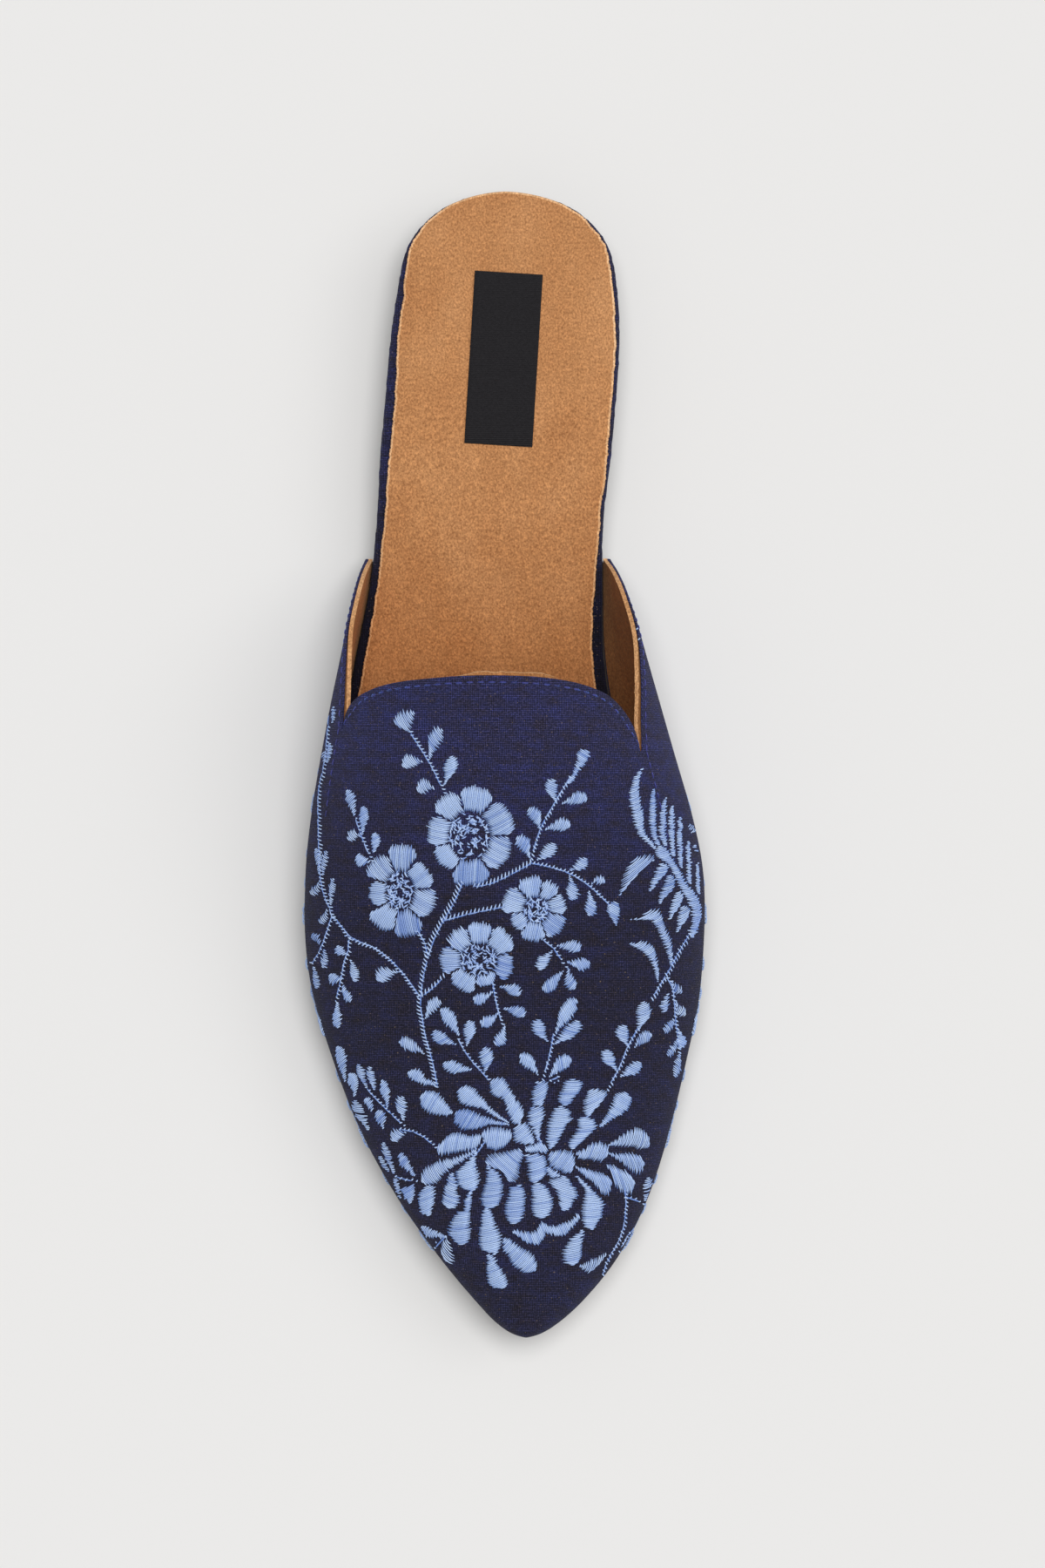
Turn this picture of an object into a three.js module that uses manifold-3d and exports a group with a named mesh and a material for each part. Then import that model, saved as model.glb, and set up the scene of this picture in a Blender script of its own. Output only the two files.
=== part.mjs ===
// A pointed flat mule, the right shoe of a pair, built as its maker puts it together: heel, outsole,
// fabric-wrapped footbed, suede insole cover with its label, and an open-backed upper with a tongue.
// Millimetres, +Z up. The toe points to -Y, the heel to +Y, and +X is the inner (medial) side.
// The origin is on the floor, under the middle of the shoe.
import * as THREE from "three";
import { mergeVertices } from "three/addons/utils/BufferGeometryUtils.js";
import Module from "manifold-3d";

// Driving sizes
const shoeLength = 266;
const ballWidth = 83; // of the footbed, at the ball of the foot
const heelWidth = 53; // of the footbed, at the heel seat
const heelHeight = 9; // of the heel block alone
const toeSpring = 8; // rise of the sole at the toe tip
const fitGap = 0.3; // glued faces stay this far apart

const outsoleThickness = 3;
const outsoleBevel = 0.8;
const outsoleInset = 0.5; // the sole's edge lies this far inside what stands on it
const heelLength = 56;
const heelTaper = 1.5; // the heel block narrows this much towards the floor
const heelBreastHollow = 5; // depth of the curve in the heel's front face

const footbedThickness = 6; // at the heel seat
const footbedToe = 3.2; // and at the toe
const footbedRound = 2.2; // radius of the wrapped upper edge
const insoleThickness = 1.2;
const labelLength = 40;
const labelWidth = 15.8;
const labelThickness = 0.4;
const labelFromHeel = 19;
const labelTurn = 3.5; // degrees

const upperWall = 1.6; // fabric, interlining and suede lining together
const crestHeight = 57; // of the upper over the outsole, at the throat
const lastingWidth = 9; // how far the upper turns in under the footbed
const lastingThickness = 1.4;
const lastingToeAlong = 0.93; // ahead of this the margin covers the whole toe
const tongueWidth = 70;
const tongueReach = 17.7; // from the inner notch to the end of the tongue
const innerNotchAlong = 0.492; // share of the length from the heel
const quarterEndAlong = 0.319; // where the upper's sides run out at the waist

// The footbed's outline, in shares: along is from heel to toe, half is half its width and centre its
// middle, both of the width that the foot has there.
const outline = [
  { along: 0, half: 0, centre: 0.01 },
  { along: 0.019, half: 0.318, centre: 0.02 },
  { along: 0.045, half: 0.432, centre: 0.021 },
  { along: 0.09, half: 0.484, centre: 0.018 },
  { along: 0.13, half: 0.502, centre: 0.008 },
  { along: 0.18, half: 0.506, centre: -0.01 },
  { along: 0.23, half: 0.502, centre: -0.032 },
  { along: 0.29, half: 0.464, centre: -0.054 },
  { along: 0.35, half: 0.434, centre: -0.065 },
  { along: 0.4, half: 0.42, centre: -0.078 },
  { along: 0.45, half: 0.417, centre: -0.078 },
  { along: 0.5, half: 0.431, centre: -0.066 },
  { along: 0.55, half: 0.455, centre: -0.042 },
  { along: 0.6, half: 0.48, centre: -0.02 },
  { along: 0.65, half: 0.493, centre: -0.006 },
  { along: 0.7, half: 0.488, centre: 0.006 },
  { along: 0.76, half: 0.451, centre: 0.017 },
  { along: 0.82, half: 0.396, centre: 0.031 },
  { along: 0.88, half: 0.318, centre: 0.053 },
  { along: 0.93, half: 0.226, centre: 0.07 },
  { along: 0.97, half: 0.128, centre: 0.073 },
  { along: 0.99, half: 0.066, centre: 0.068 },
  { along: 1, half: 0, centre: 0.064 },
];
const jointStart = 0.2; // the foot widens from its heel to its ball between these shares
const jointEnd = 0.6;

// The upper's cross-sections. crest is the ridge's height and belly the height of the widest point, in
// shares of crestHeight; ridge is the ridge's shift to the inner side, outer and inner are how far the
// two sides swell past their foot, in shares of ballWidth; square is the arch's fullness, 2 is round.
const arch = [
  { along: 0.28, crest: 1.05, belly: 0.48, ridge: 0.03, outer: 0.02, inner: 0.028, square: 2 },
  { along: 0.36, crest: 1.02, belly: 0.45, ridge: 0.04, outer: 0.016, inner: 0.055, square: 2 },
  { along: 0.4, crest: 0.99, belly: 0.42, ridge: 0.05, outer: 0.012, inner: 0.086, square: 2 },
  { along: 0.45, crest: 0.95, belly: 0.38, ridge: 0.054, outer: 0.016, inner: 0.112, square: 2.05 },
  { along: 0.5, crest: 0.89, belly: 0.33, ridge: 0.054, outer: 0.017, inner: 0.115, square: 2.1 },
  { along: 0.55, crest: 0.815, belly: 0.29, ridge: 0.048, outer: 0.024, inner: 0.1, square: 2.1 },
  { along: 0.6, crest: 0.735, belly: 0.25, ridge: 0.04, outer: 0.03, inner: 0.078, square: 2.15 },
  { along: 0.68, crest: 0.61, belly: 0.2, ridge: 0.026, outer: 0.034, inner: 0.042, square: 2.2 },
  { along: 0.76, crest: 0.505, belly: 0.17, ridge: 0.018, outer: 0.024, inner: 0.026, square: 2.25 },
  { along: 0.84, crest: 0.41, belly: 0.14, ridge: 0.01, outer: 0.018, inner: 0.02, square: 2.3 },
  { along: 0.91, crest: 0.325, belly: 0.11, ridge: 0.004, outer: 0.014, inner: 0.015, square: 2.35 },
  { along: 0.96, crest: 0.24, belly: 0.08, ridge: 0, outer: 0.01, inner: 0.01, square: 2.35 },
  { along: 0.985, crest: 0.18, belly: 0.06, ridge: 0, outer: 0.006, inner: 0.006, square: 2.3 },
  { along: 1, crest: 0.11, belly: 0.05, ridge: 0, outer: 0, inner: 0, square: 2.2 },
];

// The tongue's edge seen from above, from the outer notch round to the inner one: across is in shares
// of tongueWidth from its middle, back in shares of tongueReach behind the inner notch.
const tongueEdge = [
  { across: -0.478, back: 0.31 },
  { across: -0.473, back: 0.48 },
  { across: -0.455, back: 0.63 },
  { across: -0.422, back: 0.755 },
  { across: -0.365, back: 0.86 },
  { across: -0.29, back: 0.925 },
  { across: -0.2, back: 0.962 },
  { across: -0.05, back: 1 },
  { across: 0.13, back: 0.99 },
  { across: 0.25, back: 0.94 },
  { across: 0.325, back: 0.87 },
  { across: 0.385, back: 0.77 },
  { across: 0.43, back: 0.62 },
  { across: 0.464, back: 0.44 },
  { across: 0.487, back: 0.24 },
  { across: 0.5, back: 0 },
];
const tongueMiddle = -0.039; // share of ballWidth

// The quarter's top line seen from the side: back is the share of the way from the notch to the
// quarter's end, up the share of the notch's height over the sole.
const quarterLine = [
  { back: 0, up: 1 },
  { back: 0.22, up: 0.975 },
  { back: 0.45, up: 0.87 },
  { back: 0.65, up: 0.69 },
  { back: 0.82, up: 0.45 },
  { back: 0.93, up: 0.21 },
  { back: 1, up: 0 },
];

// How far the suede cover's edge lies inside the footbed's, in shares of ballWidth.
const coverInset = [
  { along: 0, outer: 0.004, inner: 0.004 },
  { along: 0.05, outer: 0.006, inner: 0.005 },
  { along: 0.09, outer: 0.01, inner: 0.004 },
  { along: 0.14, outer: 0.016, inner: 0.003 },
  { along: 0.21, outer: 0.02, inner: 0.003 },
  { along: 0.27, outer: 0.014, inner: 0.002 },
  { along: 0.32, outer: 0.012, inner: 0.006 },
  { along: 0.37, outer: 0.014, inner: 0.018 },
  { along: 0.45, outer: 0.018, inner: 0.024 },
  { along: 1, outer: 0.024, inner: 0.024 },
];

const { clamp, lerp, smoothstep, degToRad } = THREE.MathUtils;
const plateSteps = 46;
const upperSteps = 34;
const wallSteps = 4; // of a section, from its foot to its widest point
const archSteps = 10; // from there to the ridge
const reach = shoeLength; // cutting bodies run this far past the shoe

// The heel's back and the toe's tip of the footbed, which the upper's wall wraps at the toe.
const backY = shoeLength / 2;
const footbedLength = shoeLength - upperWall - fitGap;

// Even steps of turn crowd the sections towards the round ends.
const turnAt = (along) => (2 / Math.PI) * Math.asin(Math.sqrt(clamp(along, 0, 1)));
const alongAt = (turn) => (1 - Math.cos(Math.PI * turn)) / 2;
const yAt = (along) => backY - along * footbedLength;
const alongOf = (y) => clamp((backY - y) / footbedLength, 0, 1);

// Reads one column of a table at a share of the length, on a smooth curve through its rows.
function column(table, name) {
  const knots = table.map((row) => turnAt(row.along));
  const values = table.map((row) => row[name]);
  const steep = knots.slice(1).map((k, i) => (values[i + 1] - values[i]) / (k - knots[i]));
  const slopes = knots.map((_, i) => {
    if (i === 0) return steep[0];
    if (i === knots.length - 1) return steep[i - 1];
    const before = knots[i] - knots[i - 1];
    const after = knots[i + 1] - knots[i];
    return (steep[i - 1] * after + steep[i] * before) / (before + after);
  });
  return (along) => {
    const turn = clamp(turnAt(along), knots[0], knots[knots.length - 1]);
    const i = Math.max(0, knots.findIndex((k) => k >= turn) - 1);
    const span = knots[i + 1] - knots[i];
    const u = (turn - knots[i]) / span;
    return (
      values[i] * (1 + 2 * u) * (1 - u) ** 2 +
      slopes[i] * span * u * (1 - u) ** 2 +
      values[i + 1] * u * u * (3 - 2 * u) +
      slopes[i + 1] * span * u * u * (u - 1)
    );
  };
}

const halfShare = column(outline, "half");
const centreShare = column(outline, "centre");
const widthAt = (along) => lerp(heelWidth, ballWidth, smoothstep(along, jointStart, jointEnd));

// Height of the outsole's underside: the heel lifts it at the back, the spring at the toe.
const liftStart = 0.17;
const treadStart = 0.6;
const treadEnd = 0.72;
function undersideAt(y) {
  const along = alongOf(y);
  const back = 1 - smoothstep(along, liftStart, treadStart);
  const front = clamp((along - treadEnd) / (1 - treadEnd), 0, 1);
  return heelHeight * back + toeSpring * front ** 1.8;
}
const soleTopAt = (y) => undersideAt(y) + outsoleThickness;
const footbedTopAt = (y) =>
  soleTopAt(y) +
  fitGap +
  lerp(footbedThickness, footbedToe, smoothstep(alongOf(y), jointStart, jointEnd));
const insoleTopAt = (y) => footbedTopAt(y) + fitGap + insoleThickness;

// A point of the footbed's outline; side is -1 outside and +1 on the inner side of the foot.
function rimPoint(turn, side) {
  const along = alongAt(turn);
  const width = widthAt(along);
  const across = centreShare(along) + side * Math.max(halfShare(along), 0);
  return new THREE.Vector2(across * width, yAt(along));
}

// That point moved outwards, square to the outline.
function rimOut(turn, side, out) {
  const point = rimPoint(turn, side);
  const tiny = 1e-3;
  if (turn < tiny) return point.add(new THREE.Vector2(0, out));
  if (turn > 1 - tiny) return point.add(new THREE.Vector2(0, -out));
  const run = rimPoint(turn + tiny, side).sub(rimPoint(turn - tiny, side)).normalize();
  return point.add(new THREE.Vector2(-run.y, run.x).multiplyScalar(side * out));
}

// Makes a closed geometry from rings of points. Point k of a ring faces point n-1-k across the
// section, and the end rings are closed between those pairs. Faces that have shrunk to a line go.
function loft(rings) {
  const size = rings[0].length;
  const corners = [];
  const triangle = (a, b, c) => {
    const area = b.clone().sub(a).cross(c.clone().sub(a)).length();
    if (area > 1e-9) corners.push(a, b, c);
  };
  const quad = (a, b, c, d) => {
    triangle(a, b, c);
    triangle(a, c, d);
  };
  for (let i = 0; i + 1 < rings.length; i += 1) {
    for (let k = 0; k < size; k += 1) {
      const next = (k + 1) % size;
      quad(rings[i][k], rings[i][next], rings[i + 1][next], rings[i + 1][k]);
    }
  }
  const first = rings[0];
  const last = rings[rings.length - 1];
  for (let k = 0; k < size / 2 - 1; k += 1) {
    const pair = size - 1 - k;
    quad(first[k], first[pair], first[pair - 1], first[k + 1]);
    quad(last[k], last[k + 1], last[pair - 1], last[pair]);
  }
  return new THREE.BufferGeometry().setFromPoints(corners);
}

const wasm = await Module();
wasm.setup();

// A closed geometry as a solid that can be joined and cut, its faces turned outwards.
function solid(geometry) {
  const bare = geometry.clone();
  bare.deleteAttribute("normal");
  bare.deleteAttribute("uv");
  const merged = mergeVertices(bare, 1e-4);
  const vertProperties = new Float32Array(merged.attributes.position.array);
  const corner = (i) => new THREE.Vector3().fromArray(vertProperties, 3 * i);
  const index = Array.from(merged.index.array);
  const faces = [];
  let volume = 0;
  for (let i = 0; i < index.length; i += 3) {
    const [a, b, c] = index.slice(i, i + 3);
    if (a === b || b === c || c === a) continue;
    faces.push([a, b, c]);
    volume += corner(a).dot(corner(b).cross(corner(c)));
  }
  const triVerts = new Uint32Array(faces.flatMap((f) => (volume < 0 ? [f[0], f[2], f[1]] : f)));
  return new wasm.Manifold(new wasm.Mesh({ numProp: 3, vertProperties, triVerts }));
}

function geometryOf(made) {
  const { vertProperties, triVerts } = made.getMesh();
  const geometry = new THREE.BufferGeometry();
  geometry.setAttribute("position", new THREE.BufferAttribute(new Float32Array(vertProperties), 3));
  geometry.setIndex(Array.from(triVerts));
  return geometry;
}

// A flat shape drawn in two of the axes and run along the third, from one place to another.
const drawnAlong = {
  x: [new THREE.Vector3(0, 1, 0), new THREE.Vector3(0, 0, 1), new THREE.Vector3(1, 0, 0)],
  z: [new THREE.Vector3(1, 0, 0), new THREE.Vector3(0, 1, 0), new THREE.Vector3(0, 0, 1)],
};
function prism(points, axis, from, to) {
  const shape = new THREE.Shape(points);
  const geometry = new THREE.ExtrudeGeometry(shape, { depth: to - from, bevelEnabled: false });
  geometry.translate(0, 0, from);
  geometry.applyMatrix4(new THREE.Matrix4().makeBasis(...drawnAlong[axis]));
  return solid(geometry);
}

// A plate that follows the footbed's outline. Its levels go from bottom to top, and each says how far
// it stands out from the outline, by turn and side, and how high it is, by y.
function plate(levels, { from = 0, to = 1, steps = plateSteps } = {}) {
  const rings = [];
  for (let i = 0; i <= steps; i += 1) {
    const turn = lerp(from, to, i / steps);
    const edge = (side) =>
      levels.map(({ out, height }) => {
        const flat = rimOut(turn, side, typeof out === "function" ? out(turn, side) : out);
        return new THREE.Vector3(flat.x, flat.y, height(flat.y));
      });
    rings.push([...edge(1), ...edge(-1).reverse()]);
  }
  return solid(loft(rings));
}

// Upper
const wallOut = fitGap + upperWall; // its foot stands this far outside the footbed
const footRise = 0.5; // the wall starts this far up, so that the turned corner is round
const archColumn = Object.fromEntries(
  ["crest", "belly", "ridge", "outer", "inner", "square"].map((name) => [name, column(arch, name)]),
);

// A point of the upper's outer face. v runs from -1 at the outer foot over the ridge to 1 at the inner.
function upperPoint(turn, v) {
  const side = v < 0 ? -1 : 1;
  const along = alongAt(turn);
  const foot = rimOut(turn, side, wallOut);
  const ridge = rimOut(turn, -1, wallOut).add(rimOut(turn, 1, wallOut)).multiplyScalar(0.5);
  ridge.x += archColumn.ridge(along) * ballWidth;
  const swell = (side < 0 ? archColumn.outer(along) : archColumn.inner(along)) * ballWidth;
  const belly = Math.max(archColumn.belly(along), 0) * crestHeight;
  const crest = Math.max(archColumn.crest(along), 0) * crestHeight;
  const wallShare = wallSteps / (wallSteps + archSteps);
  const up = 1 - Math.abs(v);
  let across;
  let height;
  if (up < wallShare) {
    const climb = up / wallShare;
    across = foot.x + side * swell * (1 - (1 - climb) ** 2);
    height = lerp(footRise, belly, climb);
  } else {
    const angle = ((up - wallShare) / (1 - wallShare)) * (Math.PI / 2);
    const power = 2 / archColumn.square(along);
    const widest = foot.x + side * swell;
    across = ridge.x + (widest - ridge.x) * Math.max(Math.cos(angle), 0) ** power;
    height = belly + (crest - belly) * Math.sin(angle) ** power;
  }
  const y = lerp(ridge.y, foot.y, Math.abs(v));
  return new THREE.Vector3(across, y, soleTopAt(y) + fitGap + Math.max(height, 0));
}

// The same point, moved in by the wall's thickness.
function liningPoint(turn, v) {
  const tiny = 2e-3;
  const low = Math.max(v - tiny, -1);
  const high = Math.min(v + tiny, 1);
  const point = upperPoint(turn, v);
  if (turn > 1 - tiny) return point.add(new THREE.Vector3(0, upperWall, 0));
  const round = upperPoint(turn, high).sub(upperPoint(turn, low));
  const forward = upperPoint(turn + tiny, v).sub(upperPoint(turn - tiny, v));
  const inward = forward.cross(round).normalize().multiplyScalar(-upperWall);
  return point.add(inward);
}

function upperShell() {
  const sideSteps = wallSteps + archSteps;
  const start = turnAt(quarterEndAlong - 0.03);
  const rings = [];
  for (let i = 0; i <= upperSteps; i += 1) {
    const turn = lerp(start, 1, i / upperSteps);
    const outside = [];
    const inside = [];
    for (let k = -sideSteps; k <= sideSteps; k += 1) {
      outside.push(upperPoint(turn, k / sideSteps));
      inside.unshift(liningPoint(turn, k / sideSteps));
    }
    rings.push([...outside, ...inside]);
  }
  return solid(loft(rings));
}

// The footbed's levels, its upper edge rounded; grow makes the room that it needs.
function footbedLevels(grow) {
  const round = [0, 0.5, 1].map((share) => {
    const angle = (share * Math.PI) / 2;
    return {
      out: grow - footbedRound * (1 - Math.cos(angle)),
      height: (y) => footbedTopAt(y) + grow - footbedRound * (1 - Math.sin(angle)),
    };
  });
  return [{ out: grow, height: (y) => soleTopAt(y) + fitGap - grow }, ...round];
}

// The margin that is drawn in under the footbed and glued to the outsole.
function lastingMargin(grow, from) {
  const bottom = (y) => soleTopAt(y) + fitGap - grow * reach;
  const top = (y) => soleTopAt(y) + fitGap + lastingThickness + grow;
  const ring = (out) => plate([{ out, height: bottom }, { out, height: top }], { from });
  const hole = plate(
    [
      { out: -lastingWidth - grow, height: (y) => bottom(y) - 1 },
      { out: -lastingWidth - grow, height: (y) => top(y) + 1 },
    ],
    { from: from * 0.9, to: turnAt(lastingToeAlong) },
  );
  return ring(wallOut - footRise + grow).subtract(hole);
}

const throatY = backY - innerNotchAlong * shoeLength;
const quarterEndY = backY - quarterEndAlong * shoeLength;
const edgePoints = tongueEdge.map(
  ({ across, back }) =>
    new THREE.Vector2(across * tongueWidth + tongueMiddle * ballWidth, throatY + back * tongueReach),
);

// Height of the upper's outer face where a notch cuts it.
function faceHeight({ x, y }) {
  const turn = turnAt(alongOf(y));
  const side = Math.sign(x);
  let best = upperPoint(turn, side);
  for (let i = 0; i < 400; i += 1) {
    const point = upperPoint(turn, side * (1 - i / 400));
    if (point.z > best.z && side * point.x >= side * x) best = point;
  }
  return best.z;
}

// Everything behind and above one side's top line.
function quarterCut(notch) {
  const side = Math.sign(notch.x);
  const drop = faceHeight(notch) - soleTopAt(notch.y);
  const line = quarterLine.map(({ back, up }) => {
    const y = lerp(notch.y, quarterEndY, back);
    return new THREE.Vector2(y, soleTopAt(y) + drop * up);
  });
  const curve = new THREE.SplineCurve(line).getPoints(24);
  const below = new THREE.Vector2(quarterEndY, -reach);
  const points = [...curve, below, new THREE.Vector2(reach, -reach), new THREE.Vector2(reach, reach)];
  points.push(new THREE.Vector2(notch.y, reach));
  const middle = tongueMiddle * ballWidth;
  return prism(points, "x", Math.min(middle, side * reach), Math.max(middle, side * reach));
}

const outerNotch = edgePoints[0];
const innerNotch = edgePoints[edgePoints.length - 1];
const tongueCurve = new THREE.SplineCurve(edgePoints).getPoints(40);
const tonguePrism = prism(
  [...tongueCurve, new THREE.Vector2(innerNotch.x, -reach), new THREE.Vector2(outerNotch.x, -reach)],
  "z",
  -reach,
  reach,
);
const toplineCut = quarterCut(outerNotch).add(quarterCut(innerNotch)).subtract(tonguePrism);
const marginStart = turnAt(quarterEndAlong - 0.02);
const upper = upperShell()
  .subtract(plate(footbedLevels(fitGap)))
  .add(lastingMargin(0, marginStart))
  .subtract(toplineCut);

// Outsole, with a bevelled lower edge; its rim steps out where the upper stands on it.
const standOut = (turn) =>
  wallOut * smoothstep(alongAt(turn), quarterEndAlong - 0.005, quarterEndAlong + 0.02);
const outsole = plate([
  { out: (t) => standOut(t) - outsoleInset - outsoleBevel, height: undersideAt },
  { out: (t) => standOut(t) - outsoleInset, height: (y) => undersideAt(y) + outsoleBevel },
  { out: (t) => standOut(t) - outsoleInset, height: soleTopAt },
]);

// Heel block, tapered to the floor, its front face hollowed.
const heelBreastY = backY - heelLength;
const heelTop = (y) => undersideAt(y) - fitGap;
const breastCurve = new THREE.QuadraticBezierCurve(
  new THREE.Vector2(-heelWidth, heelBreastY),
  new THREE.Vector2(0, heelBreastY + 2 * heelBreastHollow),
  new THREE.Vector2(heelWidth, heelBreastY),
).getPoints(16);
const heel = plate(
  [
    { out: -outsoleInset - outsoleBevel - heelTaper, height: () => 0 },
    { out: -outsoleInset - outsoleBevel, height: heelTop },
  ],
  { to: turnAt((heelLength + 12) / footbedLength), steps: 24 },
).subtract(
  prism(
    [...breastCurve, new THREE.Vector2(heelWidth, -reach), new THREE.Vector2(-heelWidth, -reach)],
    "z",
    -reach,
    reach,
  ),
);

// Footbed, its upper edge rounded by the fabric wrap, rebated underneath for the lasting margin.
const footbedBlank = plate(footbedLevels(0));
const aheadOfQuarterEnd = prism(
  [
    new THREE.Vector2(-reach, -reach),
    new THREE.Vector2(reach, -reach),
    new THREE.Vector2(reach, quarterEndY + fitGap),
    new THREE.Vector2(-reach, quarterEndY + fitGap),
  ],
  "z",
  -2 * reach,
  reach,
);
const rebate = lastingMargin(fitGap, marginStart).intersect(aheadOfQuarterEnd);
const footbed = footbedBlank.subtract(rebate);

// Suede insole cover, which stops short of the footbed's edge.
const outerInset = column(coverInset, "outer");
const innerInset = column(coverInset, "inner");
const coverOut = (turn, side) =>
  -footbedRound * 0.3 - (side < 0 ? outerInset : innerInset)(alongAt(turn)) * ballWidth;
const insole = plate([
  { out: coverOut, height: (y) => footbedTopAt(y) + fitGap },
  { out: coverOut, height: insoleTopAt },
]);

// Label, glued flat on the heel seat.
const labelY = backY - labelFromHeel - labelLength / 2;
const labelX = centreShare(alongOf(labelY)) * widthAt(alongOf(labelY));
const label = new THREE.BoxGeometry(labelWidth, labelLength, labelThickness);
const labelZ = insoleTopAt(labelY) + fitGap + labelThickness / 2;

const finishes = {
  heel: { color: 0x2a1d18, roughness: 0.55 },
  outsole: { color: 0x33241d, roughness: 0.8 },
  footbed: { color: 0x26284a, roughness: 0.75 },
  insole: { color: 0xb98156, roughness: 0.95 },
  label: { color: 0x262427, roughness: 0.6 },
  upper: { color: 0x2a2c4c, roughness: 0.7 },
};

const mule = new THREE.Group();
function place(name, geometry) {
  const mesh = new THREE.Mesh(
    geometry,
    new THREE.MeshStandardMaterial({ ...finishes[name], metalness: 0 }),
  );
  mesh.name = name;
  mule.add(mesh);
  return mesh;
}

place("heel", geometryOf(heel));
place("outsole", geometryOf(outsole));
place("footbed", geometryOf(footbed));
place("insole", geometryOf(insole));
place("upper", geometryOf(upper));
const labelMesh = place("label", label);
labelMesh.position.set(labelX, labelY, labelZ);
labelMesh.rotation.z = -degToRad(labelTurn);

export default mule;
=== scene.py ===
import math

import bpy
import numpy as np
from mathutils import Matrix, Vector
from mathutils.bvhtree import BVHTree


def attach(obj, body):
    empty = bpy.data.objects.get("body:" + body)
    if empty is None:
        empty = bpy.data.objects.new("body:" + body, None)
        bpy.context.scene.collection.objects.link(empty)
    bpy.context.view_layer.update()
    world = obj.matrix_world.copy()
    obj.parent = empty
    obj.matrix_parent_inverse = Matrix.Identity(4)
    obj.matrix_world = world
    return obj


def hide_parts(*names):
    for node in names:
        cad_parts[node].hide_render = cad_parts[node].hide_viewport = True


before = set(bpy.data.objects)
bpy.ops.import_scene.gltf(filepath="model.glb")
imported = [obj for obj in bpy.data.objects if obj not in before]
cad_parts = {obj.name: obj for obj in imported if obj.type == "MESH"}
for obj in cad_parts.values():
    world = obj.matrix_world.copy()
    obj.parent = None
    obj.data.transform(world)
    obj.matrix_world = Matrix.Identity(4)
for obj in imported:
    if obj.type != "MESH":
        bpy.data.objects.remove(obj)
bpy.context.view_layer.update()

# The studio: pale paper under soft, even light, with the key on the shoe's inner side, which lays
# a faint shadow to its outer side. The camera looks straight down from above the middle of the shoe.
CAMERA_PLACE = (0.0045, -0.0045, 1.3)
PICTURE_WIDTH = 0.24312  # of the strip seen at PICTURE_LEVEL above the floor
PICTURE_LEVEL = 0.015
SENSOR_WIDTH = 36.0
PAPER_TONE = 0.83
SKY_STRENGTH = 0.2

camera = bpy.data.objects.new("camera", bpy.data.cameras.new("camera"))
bpy.context.scene.collection.objects.link(camera)
camera.location = CAMERA_PLACE
camera.data.sensor_fit = "HORIZONTAL"
camera.data.sensor_width = SENSOR_WIDTH
camera.data.lens = SENSOR_WIDTH * (CAMERA_PLACE[2] - PICTURE_LEVEL) / PICTURE_WIDTH
bpy.context.scene.camera = camera
bpy.context.scene.view_settings.view_transform = "Standard"

bpy.ops.object.select_all(action="DESELECT")
bpy.ops.mesh.primitive_plane_add(size=6)
floor = bpy.context.object
floor.name = "floor"
paper = bpy.data.materials.new("paper")
paper.use_nodes = True
paper_sockets = paper.node_tree.nodes["Principled BSDF"].inputs
paper_sockets["Base Color"].default_value = (PAPER_TONE, PAPER_TONE * 0.992, PAPER_TONE * 0.98, 1)
paper_sockets["Roughness"].default_value = 0.9
paper_sockets["Specular IOR Level"].default_value = 0.1
floor.data.materials.append(paper)

studio = bpy.data.worlds.new("studio")
bpy.context.scene.world = studio
studio.use_nodes = True
studio.node_tree.nodes["Background"].inputs["Color"].default_value = (1, 1, 1, 1)
studio.node_tree.nodes["Background"].inputs["Strength"].default_value = SKY_STRENGTH


def soft_light(name, towards, spread, share):
    """Even light from a wide patch of the sky, giving its share of the paper's brightness."""
    lamp = bpy.data.objects.new(name, bpy.data.lights.new(name, "SUN"))
    bpy.context.scene.collection.objects.link(lamp)
    aim = Vector(towards).normalized()
    lamp.rotation_euler = aim.to_track_quat("Z", "Y").to_euler()
    lamp.data.angle = math.radians(spread)
    lamp.data.energy = share * math.pi / aim.z


soft_light("key_light", (0.8, 0.25, 1.0), 40, 0.12)
soft_light("top_light", (0.06, 0.14, 1.0), 34, 0.68)

# Outsole: a thin rubber sole with an arch behind the ball and a spring under the toe. It is moulded in
# one piece, its lower edge bevelled, and glued under the footbed and the turned margin of the upper.
SHOE_LENGTH = 266.0
BALL_WIDTH = 83.0
HEEL_WIDTH = 53.0
HEEL_HEIGHT = 9.0
TOE_SPRING = 8.0
SOLE_THICKNESS = 3.0
SOLE_INSET = 0.5
SOLE_BEVEL = 0.8
JOINT_GAP = 0.3  # left for the glue between two layers
JOINT_START, JOINT_END = 0.2, 0.6  # shares of the length between which the foot widens
LIFT_START, TREAD_START, TREAD_END = 0.17, 0.6, 0.72  # where the heel ends, the ball lands and the toe lifts
UPPER_WALL = 1.6
WALL_OUT = JOINT_GAP + UPPER_WALL  # of the upper's outer face from the footbed's outline
QUARTER_END = 0.319  # share of the length where the upper's sides run out at the waist
BACK_Y = SHOE_LENGTH / 2
FOOTBED_LENGTH = SHOE_LENGTH - WALL_OUT

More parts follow.
